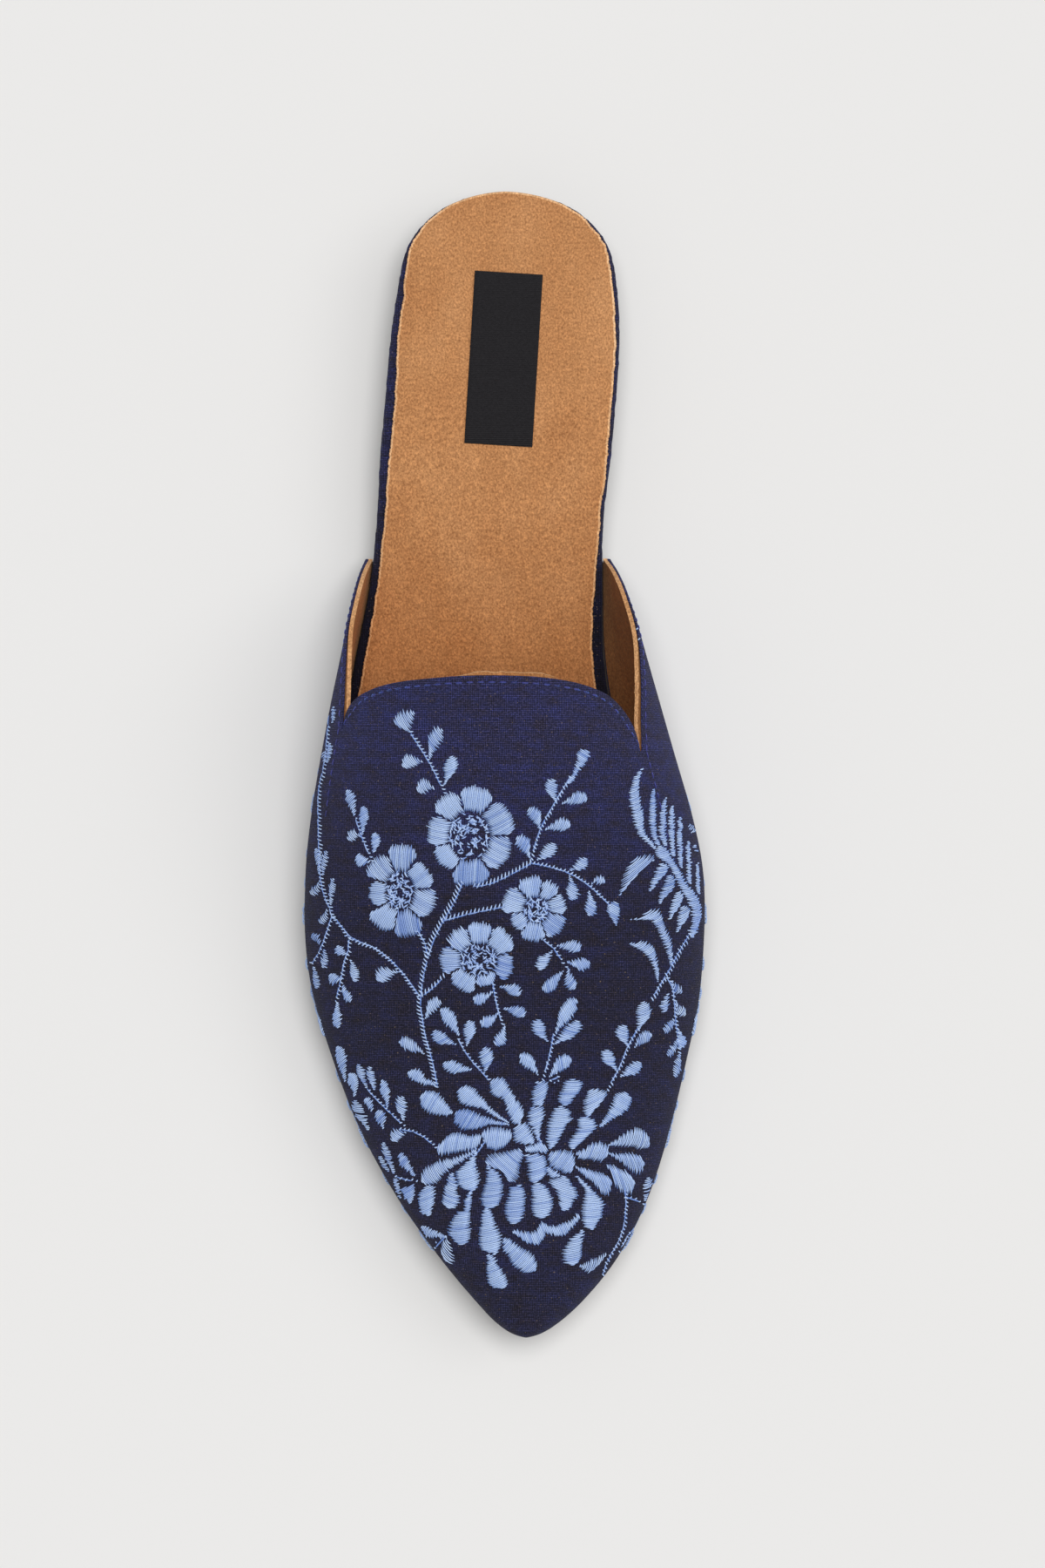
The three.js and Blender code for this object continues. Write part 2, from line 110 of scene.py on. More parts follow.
# Half the footbed's width and its middle, in shares of the width of the last there.
OUTLINE = {
    "along": [0, 0.019, 0.045, 0.09, 0.13, 0.18, 0.23, 0.29, 0.35, 0.4, 0.45, 0.5]
    + [0.55, 0.6, 0.65, 0.7, 0.76, 0.82, 0.88, 0.93, 0.97, 0.99, 1],
    "half": [0, 0.318, 0.432, 0.484, 0.502, 0.506, 0.502, 0.464, 0.434, 0.42, 0.417, 0.431]
    + [0.455, 0.48, 0.493, 0.488, 0.451, 0.396, 0.318, 0.226, 0.128, 0.066, 0],
    "centre": [0.01, 0.02, 0.021, 0.018, 0.008, -0.01, -0.032, -0.054, -0.065, -0.078, -0.078]
    + [-0.066, -0.042, -0.02, -0.006, 0.006, 0.017, 0.031, 0.053, 0.07, 0.073, 0.068, 0.064],
}


def smoothstep(x, low, high):
    share = np.clip((np.asarray(x, float) - low) / (high - low), 0, 1)
    return share * share * (3 - 2 * share)


# A turn runs from 0 at the back of the heel to 1 at the toe, slow at both ends.
def turn_at(along):
    return (2 / math.pi) * np.arcsin(np.sqrt(np.clip(along, 0, 1)))


def along_at(turn):
    return (1 - np.cos(math.pi * np.asarray(turn, float))) / 2


def y_at(along):
    return BACK_Y - along * FOOTBED_LENGTH


def along_of(y):
    return np.clip((BACK_Y - np.asarray(y, float)) / FOOTBED_LENGTH, 0, 1)


def column(table, name):
    """Reads one column of a table along the shoe, on a smooth curve through its rows."""
    knots = turn_at(np.array(table["along"], float))
    values = np.array(table[name], float)
    spans = np.diff(knots)
    steep = np.diff(values) / spans
    inner = (steep[:-1] * spans[1:] + steep[1:] * spans[:-1]) / (spans[1:] + spans[:-1])
    slopes = np.concatenate([steep[:1], inner, steep[-1:]])

    def read(along):
        turn = np.clip(turn_at(along), knots[0], knots[-1])
        i = np.clip(np.searchsorted(knots, turn) - 1, 0, len(spans) - 1)
        u = (turn - knots[i]) / spans[i]
        before, after = values[i], values[i + 1]
        rise = slopes[i] * (1 - u) * u * (1 - u) + slopes[i + 1] * u * u * (u - 1)
        return before + (after - before) * u * u * (3 - 2 * u) + rise * spans[i]

    return read


half_share = column(OUTLINE, "half")
centre_share = column(OUTLINE, "centre")


def width_at(along):
    return HEEL_WIDTH + (BALL_WIDTH - HEEL_WIDTH) * smoothstep(along, JOINT_START, JOINT_END)


def underside_at(y):
    along = along_of(y)
    spring = TOE_SPRING * np.clip((along - TREAD_END) / (1 - TREAD_END), 0, 1) ** 1.8
    return HEEL_HEIGHT * (1 - smoothstep(along, LIFT_START, TREAD_START)) + spring


def sole_top_at(y):
    return underside_at(y) + SOLE_THICKNESS


def outline_point(turn, side):
    along = along_at(turn)
    x = (centre_share(along) + side * np.maximum(half_share(along), 0)) * width_at(along)
    return np.stack([x, y_at(along) + 0 * x], -1)


def outline_out(turn, side, out):
    """A point of the footbed's outline in plan, moved out square to it by a number of mm."""
    turn = np.asarray(turn, float)
    tiny = 1e-3
    run = outline_point(turn + tiny, side) - outline_point(turn - tiny, side)
    run = run / (np.linalg.norm(run, axis=-1, keepdims=True) + 1e-12)
    away = np.stack([-run[..., 1], run[..., 0]], -1) * (side + 0 * turn)[..., None]
    away = np.where((turn < tiny)[..., None], [0.0, 1.0], away)
    away = np.where((turn > 1 - tiny)[..., None], [0.0, -1.0], away)
    return outline_point(turn, side) + away * (out + 0 * turn)[..., None]


def vertices_of(piece):
    points = np.empty(3 * len(piece.data.vertices))
    piece.data.vertices.foreach_get("co", points)
    return points.reshape(-1, 3) * 1000


def place_vertices(piece, points):
    piece.data.vertices.foreach_set("co", (np.asarray(points, float) / 1000).ravel())
    piece.data.update()


def select_only(piece):
    bpy.ops.object.select_all(action="DESELECT")
    bpy.context.view_layer.objects.active = piece
    piece.select_set(True)


def grid_through(name, points, uv=None):
    """A grid whose rows and columns of vertices go through an array of points, in mm."""
    rows, columns = points.shape[:2]
    bpy.ops.object.select_all(action="DESELECT")
    bpy.ops.mesh.primitive_grid_add(
        x_subdivisions=columns - 1, y_subdivisions=rows - 1, size=2, calc_uvs=True
    )
    piece = bpy.context.object
    piece.name = name
    flat = vertices_of(piece) / 1000
    at_column = np.rint((flat[:, 0] + 1) / 2 * (columns - 1)).astype(int)
    at_row = np.rint((1 - flat[:, 1]) / 2 * (rows - 1)).astype(int)
    place_vertices(piece, points[at_row, at_column])
    if uv is not None:
        corners = np.empty(len(piece.data.loops), int)
        piece.data.loops.foreach_get("vertex_index", corners)
        values = uv[at_row, at_column][corners] / 1000
        piece.data.uv_layers.active.data.foreach_set("uv", values.ravel())
    return piece


def close_seams(piece, face_out=True, distance=0.02):
    select_only(piece)
    bpy.ops.object.mode_set(mode="EDIT")
    bpy.ops.mesh.select_all(action="SELECT")
    bpy.ops.mesh.remove_doubles(threshold=distance / 1000)
    if face_out:
        bpy.ops.mesh.normals_make_consistent(inside=False)
    bpy.ops.object.mode_set(mode="OBJECT")


def apply_modifier(piece, kind, **settings):
    select_only(piece)
    modifier = piece.modifiers.new(kind.lower(), kind)
    for name, value in settings.items():
        setattr(modifier, name, value)
    bpy.ops.object.modifier_apply(modifier=modifier.name)


def round_edges(piece, width):
    """Rounds the edges of a piece by a width in mm."""
    angle = math.radians(50)
    apply_modifier(piece, "BEVEL", width=width / 1000, segments=2, limit_method="ANGLE", angle_limit=angle)


def smooth_faces(piece, sharp_from):
    select_only(piece)
    bpy.ops.object.shade_smooth_by_angle(angle=math.radians(sharp_from))


def layer(name, rim, across, rows):
    """A layer of the sole. rim lists its edge from below up: how far out, and at what height."""
    turns = np.linspace(0, 1, rows + 1)

    def edge(side, out, level):
        plan = outline_out(turns, side, out(turns, side) if callable(out) else out)
        return np.column_stack([plan, level(plan[:, 1])])

    def between(first, last, level):
        made = [first + (last - first) * k / across for k in range(1, across)]
        return [np.column_stack([plan[:, :2], level(plan[:, 1])]) for plan in made]

    inner, outer = ([edge(side, *step) for step in rim] for side in (1, -1))
    top = between(inner[-1], outer[-1], rim[-1][1])
    bottom = between(outer[0], inner[0], rim[0][1])
    loop = [*inner, *top, *outer[::-1], *bottom, inner[0]]
    piece = grid_through(name, np.stack(loop, 1))
    close_seams(piece)
    smooth_faces(piece, 40)
    return piece


class Finish:
    """A material, and the nodes that give its surface its look."""

    def __init__(self, name, roughness, specular):
        self.material = bpy.data.materials.new(name)
        self.material.use_nodes = True
        self.nodes = self.material.node_tree.nodes
        self.links = self.material.node_tree.links
        self.shader = self.nodes["Principled BSDF"]
        self.set("Roughness", roughness)
        self.set("Specular IOR Level", specular)

    def set(self, socket, value):
        if isinstance(value, bpy.types.NodeSocket):
            self.links.new(value, self.shader.inputs[socket])
        else:
            self.shader.inputs[socket].default_value = value

    def node(self, kind, inputs, **settings):
        made = self.nodes.new("ShaderNode" + kind)
        for key, value in settings.items():
            setattr(made, key, value)
        for key, value in inputs.items():
            if isinstance(value, bpy.types.NodeSocket):
                self.links.new(value, made.inputs[key])
            else:
                made.inputs[key].default_value = value
        return made

    def place(self, source="Object"):
        return self.node("TexCoord", {}).outputs[source]

    def grain(self, place, size, detail=3.0, roughness=0.5):
        """Noise whose grains have a size in mm, along x, y and z."""
        scale = [1000 / s for s in (size if hasattr(size, "__len__") else [size] * 3)]
        spread = self.node("Mapping", {"Vector": place, "Scale": scale}).outputs["Vector"]
        settings = {"Vector": spread, "Scale": 1.0, "Detail": detail, "Roughness": roughness}
        return self.node("TexNoise", settings).outputs["Fac"]

    def threads(self, place, pitch, direction, waver):
        """Parallel threads at a pitch in mm."""
        settings = {"Vector": place, "Scale": 2 * math.pi / 20 * 1000 / pitch, "Distortion": waver}
        settings |= {"Detail": 1.0, "Detail Scale": 0.3}
        return self.node("TexWave", settings, bands_direction=direction).outputs["Fac"]

    def ramp(self, value, *stops):
        made = self.node("ValToRGB", {"Fac": value})
        steps = made.color_ramp.elements
        while len(steps) < len(stops):
            steps.new(0.5)
        for step, (place, colour) in zip(steps, stops):
            step.position = place
            step.color = (*colour, 1)
        return made.outputs["Color"]

    def reckon(self, operation, first, second):
        return self.node("Math", {0: first, 1: second}, operation=operation).outputs[0]

    def blend(self, kind, share, first, second):
        made = self.node("MixRGB", {"Fac": share, "Color1": first, "Color2": second}, blend_type=kind)
        return made.outputs["Color"]

    def tint(self, base, value, share, *stops):
        """Multiplies a colour, by a share, with the ramp of a value."""
        return self.blend("MULTIPLY", share, base, self.ramp(value, *stops))

    def way(self, place, axis, first, last):
        """How far a place lies on the way from first to last along an axis, in metres."""
        value = self.node("SeparateXYZ", {"Vector": place}).outputs[axis]
        limits = {"Value": value, "From Min": first, "From Max": last}
        return self.node("MapRange", limits).outputs["Result"]

    def relief(self, height, depth):
        """Bumps of a depth in mm."""
        settings = {"Height": height, "Strength": 1.0, "Distance": depth / 1000}
        self.set("Normal", self.node("Bump", settings).outputs["Normal"])

    def sheen(self, weight, roughness, *tint):
        self.set("Sheen Weight", weight)
        self.set("Sheen Roughness", roughness)
        self.set("Sheen Tint", (*tint, 1))


def grey(value):
    return (value, value, value)


def swatch(red, green, blue):
    """A colour as it reads on a display, from 0 to 255."""
    return tuple(((v / 255 + 0.055) / 1.055) ** 2.4 for v in (red, green, blue))


def dress(piece, finish, node):
    """Gives a piece its material and its place in the frame."""
    if piece.data.materials:
        piece.data.materials[0] = finish.material
    else:
        piece.data.materials.append(finish.material)
    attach(piece, "root")
    if node:
        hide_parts(node)


def sole_out(less):
    def out(turn, side):
        stand = smoothstep(along_at(turn), QUARTER_END - 0.005, QUARTER_END + 0.02)
        return WALL_OUT * stand - SOLE_INSET - less

    return out


outsole = layer(
    "outsole_moulded",
    [
        (sole_out(SOLE_BEVEL), underside_at),
        (sole_out(0.1), lambda y: underside_at(y) + SOLE_BEVEL * 0.8),
        (sole_out(0), lambda y: underside_at(y) + SOLE_BEVEL),
        (sole_out(0), lambda y: sole_top_at(y) - 0.3),
        (sole_out(0.1), lambda y: sole_top_at(y) - 0.08),
        (sole_out(0.35), sole_top_at),
    ],
    across=26,
    rows=150,
)
rubber = Finish("sole_rubber", 0.7, 0.4)
clouds = rubber.grain(rubber.place(), 30)
rubber.set("Base Color", rubber.ramp(clouds, (0.35, swatch(52, 43, 40)), (0.7, swatch(70, 58, 52))))
rubber.relief(rubber.grain(rubber.place(), 0.9, 4.0), 0.25)
dress(outsole, rubber, "outsole")

# Heel: a low block of stacked rubber, a little narrower at the floor, with a hollowed front. It is
# glued and nailed under the seat of the outsole.
HEEL_LENGTH = 56.0
BREAST_HOLLOW = 5.0
HEEL_TAPER = 1.5
HEEL_INSET = SOLE_INSET + SOLE_BEVEL
LIFT_THICKNESS = 2.9

seat_turns = np.linspace(0, float(turn_at(HEEL_LENGTH / FOOTBED_LENGTH)), 40)
round_seat = np.concatenate(
    [outline_out(seat_turns[::-1], 1, -HEEL_INSET), outline_out(seat_turns[1:], -1, -HEEL_INSET)]
)
breast_share = np.linspace(0, 1, 26)[1:-1]
breast = round_seat[-1] + (round_seat[0] - round_seat[-1]) * breast_share[:, None]
breast[:, 1] += BREAST_HOLLOW * 4 * breast_share * (1 - breast_share)
heel_plan = np.concatenate([round_seat, breast])
heel_middle = heel_plan.mean(0)

bpy.ops.object.select_all(action="DESELECT")
bpy.ops.mesh.primitive_circle_add(vertices=len(heel_plan), radius=0.02, fill_type="NGON")
heel = bpy.context.object
heel.name = "heel_block"
away = heel_plan - heel_middle
tapered = heel_plan - away / np.linalg.norm(away, axis=1, keepdims=True) * HEEL_TAPER
place_vertices(heel, np.column_stack([tapered, 0 * tapered[:, 0]]))
bpy.ops.object.mode_set(mode="EDIT")
bpy.ops.mesh.select_all(action="SELECT")
bpy.ops.mesh.extrude_region_move(TRANSFORM_OT_translate={"value": (0, 0, HEEL_HEIGHT / 1000)})
bpy.ops.object.mode_set(mode="OBJECT")
heel_points = vertices_of(heel)
raised = heel_points[:, 2] > HEEL_HEIGHT / 2
heel_points[raised, :2] = heel_plan
heel_points[raised, 2] = underside_at(heel_plan[:, 1]) - 0.02
place_vertices(heel, heel_points)
close_seams(heel)
round_edges(heel, 0.4)
smooth_faces(heel, 40)

rubber = Finish("heel_rubber", 0.6, 0.45)
lifts = rubber.threads(rubber.place(), LIFT_THICKNESS, "Z", 0.0)
clouds = rubber.grain(rubber.place(), 12)
tone = rubber.ramp(clouds, (0.3, swatch(46, 38, 36)), (0.7, swatch(60, 50, 46)))
rubber.set("Base Color", rubber.tint(tone, lifts, 1.0, (0.0, grey(0.55)), (0.06, grey(1.0))))
crumbs = rubber.grain(rubber.place(), 0.7, 4.0)
rubber.relief(rubber.reckon("ADD", crumbs, rubber.reckon("MINIMUM", lifts, 0.2)), 0.25)
dress(heel, rubber, "heel")

# Footbed: board and thin foam wrapped in navy cloth, which is drawn over the rounded upper edge and
# glued. Its rim shows beside the insole, a little wrinkled where the cloth is pulled round a curve.
FOOTBED_HEEL = 6.0
FOOTBED_TOE = 3.2
FOOTBED_ROUND = 2.2
THREAD_PITCH = 0.42  # of the cloth's weft and warp


def footbed_top_at(y):
    share = smoothstep(along_of(y), JOINT_START, JOINT_END)
    return sole_top_at(y) + JOINT_GAP + FOOTBED_HEEL + (FOOTBED_TOE - FOOTBED_HEEL) * share


def pulled(less, amount):
    """The cloth's edge, with the small gathers of the pull round the heel."""

    def out(turn, side):
        way = np.asarray(turn) * 230 + side * 31
        gathers = np.sin(way * 1.7) * np.sin(way * 0.43 + 1) + 0.5 * np.sin(way * 4.1)
        return -less + amount * gathers

    return out


rounding = []
for degrees in (0, 18, 36, 54, 72, 90):
    angle = math.radians(degrees)
    less = FOOTBED_ROUND * (1 - math.cos(angle))
    fall = FOOTBED_ROUND * (1 - math.sin(angle))
    rounding.append((pulled(less, 0.07), lambda y, fall=fall: footbed_top_at(y) - fall))
footbed = layer(
    "footbed_wrapped",
    [
        (pulled(0.3, 0.03), lambda y: sole_top_at(y) + 0.01),
        (pulled(0, 0.05), lambda y: sole_top_at(y) + 0.5),
        *rounding,
    ],
    across=20,
    rows=260,
)


def navy_cloth(name, source, lightness, painted_light_along_y):
    """Plain-woven navy cloth: a mottle of brown-black and blue, uneven weft threads, odd paler flecks.
    It carries painted light and shade along y, set by its last argument: from y, to y, in metres, and the tint at
    each."""
    cloth = Finish(name, 0.85, 0.2)
    place = cloth.place(source)
    weft, warp = (cloth.threads(place, THREAD_PITCH, direction, 0.8) for direction in "YX")
    weave = cloth.reckon("MULTIPLY", cloth.reckon("ADD", weft, warp), 0.5)
    mottle = cloth.grain(place, (4.0, 2.6, 4.0), 3.0, 0.65)
    slubs = cloth.grain(place, (1.3, 0.42, 1.3), 2.0, 0.6)
    flecks = cloth.grain(place, (0.5, 0.42, 0.5), 2.0, 0.7)
    bars = cloth.grain(place, (30, 1.6, 30), 2.0, 0.6)
    clouds = cloth.grain(place, 34, 2.0)
    blues = ((0.32, (36, 33, 43)), (0.5, (36, 36, 55)), (0.68, (37, 39, 66)))
    ground = cloth.ramp(mottle, *((at, swatch(*(lightness * v for v in blue))) for at, blue in blues))
    for value, share, *stops in (
        (weave, 0.9, (0.25, grey(0.38)), (0.5, grey(0.95)), (0.75, (2.0, 2.0, 2.2))),
        (slubs, 0.5, (0.3, grey(0.65)), (0.5, grey(1.0)), (0.7, (1.35, 1.36, 1.5))),
        (flecks, 0.75, (0.32, grey(0.3)), (0.5, grey(1.0)), (0.68, (2.4, 2.2, 2.0))),
        (bars, 0.7, (0.4, grey(0.92)), (0.62, (1.06, 1.08, 1.25))),
        (clouds, 0.6, (0.35, (1.0, 0.92, 0.82)), (0.65, (1.04, 1.06, 1.2))),
        # painted light and shade along y
        (cloth.way(place, "Y", *painted_light_along_y[:2]), 1.0, (0, painted_light_along_y[2]), (1, painted_light_along_y[3])),
    ):
        ground = cloth.tint(ground, value, share, *stops)
    lint = cloth.ramp(cloth.grain(place, (0.6, 0.5, 0.6), 1.0), (0.7, grey(0)), (0.76, grey(1)))
    cloth.set("Base Color", cloth.blend("MIX", lint, ground, (*swatch(118, 102, 88), 1)))
    cloth.sheen(0.05, 0.5, 0.45, 0.5, 1.0)
    cloth.relief(cloth.reckon("ADD", weave, flecks), 0.2)
    return cloth


# Painted shade: the footbed's cloth is painted much darker in front of the heel, down inside the quarters, and
# lighter at the open heel.
footbed_cloth = navy_cloth("footbed_cloth", "Object", 0.9, (0.035, 0.07, grey(0.4), (1.25, 1.28, 1.5)))
dress(footbed, footbed_cloth, "footbed")

# Insole: tan suede with its nap up, cut by hand a little inside the footbed's edge and glued flat. The
# cut edge is slightly ragged and paler than the face.
INSOLE_THICKNESS = 1.2
INSOLE_MARGIN = 0.66
CUT_EDGE_LEAN = 0.97  # faces whose normal rises less than this belong to the cut edge
SHADED_FRONT = (0.028, 0.062)  # y, in metres, between which painted shade on the suede fades out towards the back, away from the tongue
COVER_INSET = {
    "along": [0, 0.05, 0.09, 0.14, 0.21, 0.27, 0.32, 0.37, 0.45, 1],
    "outer": [-0.006, 0.002, 0.01, 0.016, 0.02, 0.014, 0.012, 0.014, 0.018, 0.024],
    "inner": [-0.006, 0.001, 0.004, 0.003, 0.003, 0.002, 0.006, 0.018, 0.024, 0.024],
}
cover_inset = {-1: column(COVER_INSET, "outer"), 1: column(COVER_INSET, "inner")}
INSOLE_ROWS = 1100
RAG_SPAN = 8  # rows between the knife's coarser wavers
FINE_RAG, COARSE_RAG = 0.06, 0.11
hand = np.random.default_rng(11)
raggedness = {}
row = np.arange(INSOLE_ROWS + 1)
from_end = np.minimum(row, INSOLE_ROWS - row) / INSOLE_ROWS
for side in (-1, 1):
    fine = hand.normal(size=INSOLE_ROWS + 1)
    wavers = hand.normal(size=INSOLE_ROWS // RAG_SPAN + 3)
    coarse = np.interp(row / RAG_SPAN, np.arange(len(wavers)), wavers)
    raggedness[side] = (FINE_RAG * fine + COARSE_RAG * coarse) * smoothstep(from_end, 0.03, 0.12)


def insole_top_at(y):
    return footbed_top_at(y) + JOINT_GAP + INSOLE_THICKNESS


def cut_edge(less):
    def out(turn, side):
        inset = cover_inset[side](along_at(turn)) * BALL_WIDTH
        return -INSOLE_MARGIN - inset - less + raggedness[side]

    return out


insole = layer(
    "insole_suede_cover",
    [
        (cut_edge(0.1), lambda y: footbed_top_at(y) + 0.01),
        (cut_edge(0), lambda y: footbed_top_at(y) + 0.4),
        (cut_edge(0), lambda y: insole_top_at(y) - 0.45),
        (cut_edge(0.12), lambda y: insole_top_at(y) - 0.15),
        (cut_edge(0.5), insole_top_at),
    ],
    across=10,
    rows=INSOLE_ROWS,
)


def suede(name, *shades, nap=0.22):
    """Suede: short nap with fine dark and light hairs, and patches where it lies another way."""
    skin = Finish(name, 0.95, 0.15)
    place = skin.place()
    hairs = skin.grain(place, (0.45, 0.6, 0.45), 3.0, 0.7)
    tufts = skin.grain(place, 1.3, 3.0, 0.6)
    brushed = skin.grain(place, (18, 26, 18), 3.0, 0.6)
    base = skin.ramp(brushed, *((0.3 + 0.2 * i, swatch(*shade)) for i, shade in enumerate(shades)))
    for value, share, *stops in (
        (hairs, 0.75, (0.3, (0.5, 0.4, 0.32)), (0.5, grey(1.0)), (0.7, (1.7, 1.7, 1.62))),
        (tufts, 0.6, (0.35, grey(0.87)), (0.65, grey(1.13))),
        # painted shade: darker towards the front, where the tongue overhangs
        (skin.way(place, "Y", *SHADED_FRONT), 1.0, (0, (0.84, 0.76, 0.66)), (1, (1.07, 1.08, 1.06))),
    ):
        base = skin.tint(base, value, share, *stops)
    skin.set("Base Color", base)
    skin.relief(skin.reckon("ADD", hairs, skin.reckon("MULTIPLY", tufts, 0.8)), nap)
    skin.sheen(0.12, 0.5, 0.9, 0.62, 0.4)
    return skin


insole_suede = suede("insole_suede", (177, 121, 78), (185, 130, 86), (192, 138, 94))
dress(insole, insole_suede, "insole")
insole_edge = suede("insole_cut_edge", (206, 156, 112), (222, 174, 130), (232, 188, 146))
insole.data.materials.append(insole_edge.material)
for face in insole.data.polygons:
    face.material_index = int(abs(face.normal.z) < CUT_EDGE_LEAN)

# Label: a small patch of black satin ribbon, bare, its cut ends folded under. It is glued to the
# insole at the seat, a little askew.
LABEL_LENGTH = 40.0
LABEL_WIDTH = 15.8
LABEL_THICKNESS = 0.45
LABEL_FROM_HEEL = 19.0
LABEL_TURN = -3.5  # degrees

label_y = BACK_Y - LABEL_FROM_HEEL - LABEL_LENGTH / 2
label_x = float(centre_share(along_of(label_y)) * width_at(along_of(label_y)))
bpy.ops.object.select_all(action="DESELECT")
bpy.ops.mesh.primitive_cube_add(
    size=1, scale=(LABEL_WIDTH / 1000, LABEL_LENGTH / 1000, LABEL_THICKNESS / 1000)
)
label = bpy.context.object
label.name = "label_ribbon"
bpy.ops.object.transform_apply(location=True, rotation=True, scale=True)
bpy.ops.object.mode_set(mode="EDIT")
bpy.ops.mesh.select_all(action="SELECT")
bpy.ops.mesh.subdivide(number_cuts=15)
bpy.ops.object.mode_set(mode="OBJECT")
round_edges(label, 0.18)
cut = vertices_of(label)
lie = math.radians(LABEL_TURN)
swell = 0.08 * np.sin(cut[:, 1] * 0.33) * (cut[:, 2] > 0)  # glue under it
x = label_x + cut[:, 0] * math.cos(lie) - cut[:, 1] * math.sin(lie)
y = label_y + cut[:, 0] * math.sin(lie) + cut[:, 1] * math.cos(lie)
z = insole_top_at(y) + cut[:, 2] + LABEL_THICKNESS / 2 + swell
place_vertices(label, np.column_stack([x, y, z]))
smooth_faces(label, 40)
ribbon = Finish("label_satin", 0.6, 0.2)
ribs = ribbon.threads(ribbon.place(), 0.35, "Y", 0.3)
lint = ribbon.grain(ribbon.place(), (0.7, 0.25, 0.7), 3.0, 0.7)
ribbon.set("Base Color", ribbon.ramp(lint, (0.3, swatch(18, 16, 19)), (0.7, swatch(32, 30, 34))))
ribbon.relief(ribbon.reckon("ADD", ribs, lint), 0.06)
dress(label, ribbon, "label")

# Upper: navy cloth stretched over the last in one piece, folded in along the topline and turned under
# at the foot, where it is glued between the outsole and the footbed. The tongue stands free of the
# two quarters behind a notch at each side.
CREST_HEIGHT = 57.0
CLOTH_THICKNESS = 0.7
FOOT_RISE = 0.5
WALL_SHARE = 4 / 14  # of a section, from its foot to its widest point
TONGUE_WIDTH = 70.0
TONGUE_REACH = 17.7
TONGUE_MIDDLE = -0.039  # share of BALL_WIDTH
NOTCH_ALONG = 0.492
THROAT_Y = BACK_Y - NOTCH_ALONG * SHOE_LENGTH
QUARTER_END_Y = BACK_Y - QUARTER_END * SHOE_LENGTH

# Sections over the foot: the ridge's height, the height and bulge of each side's widest point, how far
# the ridge leans to the inner side, and how square the arch is.
ARCH = {
    "along": [0.28, 0.36, 0.4, 0.45, 0.5, 0.55, 0.6, 0.68, 0.76, 0.84, 0.91, 0.96, 0.985, 1],
    "crest": [1.05, 1.02, 0.99, 0.95, 0.89, 0.815, 0.735, 0.61, 0.505, 0.41, 0.325, 0.24, 0.18, 0.11],
    "belly": [0.48, 0.45, 0.42, 0.38, 0.33, 0.29, 0.25, 0.2, 0.17, 0.14, 0.11, 0.08, 0.06, 0.05],
    "ridge": [0.03, 0.04, 0.05, 0.054, 0.054, 0.048, 0.04, 0.026, 0.018, 0.01, 0.004, 0, 0, 0],
    "outer": [0.02, 0.016, 0.012, 0.016, 0.017, 0.024, 0.03, 0.034, 0.024, 0.018, 0.014, 0.01, 0.006, 0],
    "inner": [0.028, 0.055, 0.086, 0.112, 0.115, 0.1, 0.078, 0.042, 0.026, 0.02, 0.015, 0.01, 0.006, 0],
    "square": [2, 2, 2, 2.05, 2.1, 2.1, 2.15, 2.2, 2.25, 2.3, 2.35, 2.35, 2.3, 2.2],
}
arch_column = {name: column(ARCH, name) for name in list(ARCH)[1:]}

# The tongue's edge in plan, from the outer notch round to the inner one, in shares of TONGUE_WIDTH
# across and of TONGUE_REACH back.
TONGUE_EDGE = [
    (-0.478, 0.31), (-0.473, 0.48), (-0.455, 0.63), (-0.422, 0.755), (-0.365, 0.86), (-0.29, 0.925),
    (-0.2, 0.962), (-0.05, 1), (0.13, 0.99), (0.25, 0.94), (0.325, 0.87), (0.385, 0.77),
    (0.43, 0.62), (0.464, 0.44), (0.487, 0.24), (0.5, 0),
]
TONGUE_CORNERS = (0.17, 0.74)  # where its sides turn into its end, in shares of its edge
# The quarter's top line from the side: share of the way back, and of the notch's height.
QUARTER_LINE = [(0, 1), (0.22, 0.975), (0.45, 0.87), (0.65, 0.69), (0.82, 0.45), (0.93, 0.21), (1, 0)]
# How the cloth turns under past the foot: how far out, and how high over the sole.
TURNED_FOOT = [(WALL_OUT, FOOT_RISE), (WALL_OUT - 0.15, 0.14), (WALL_OUT - 0.55, 0), (0.35, 0)]


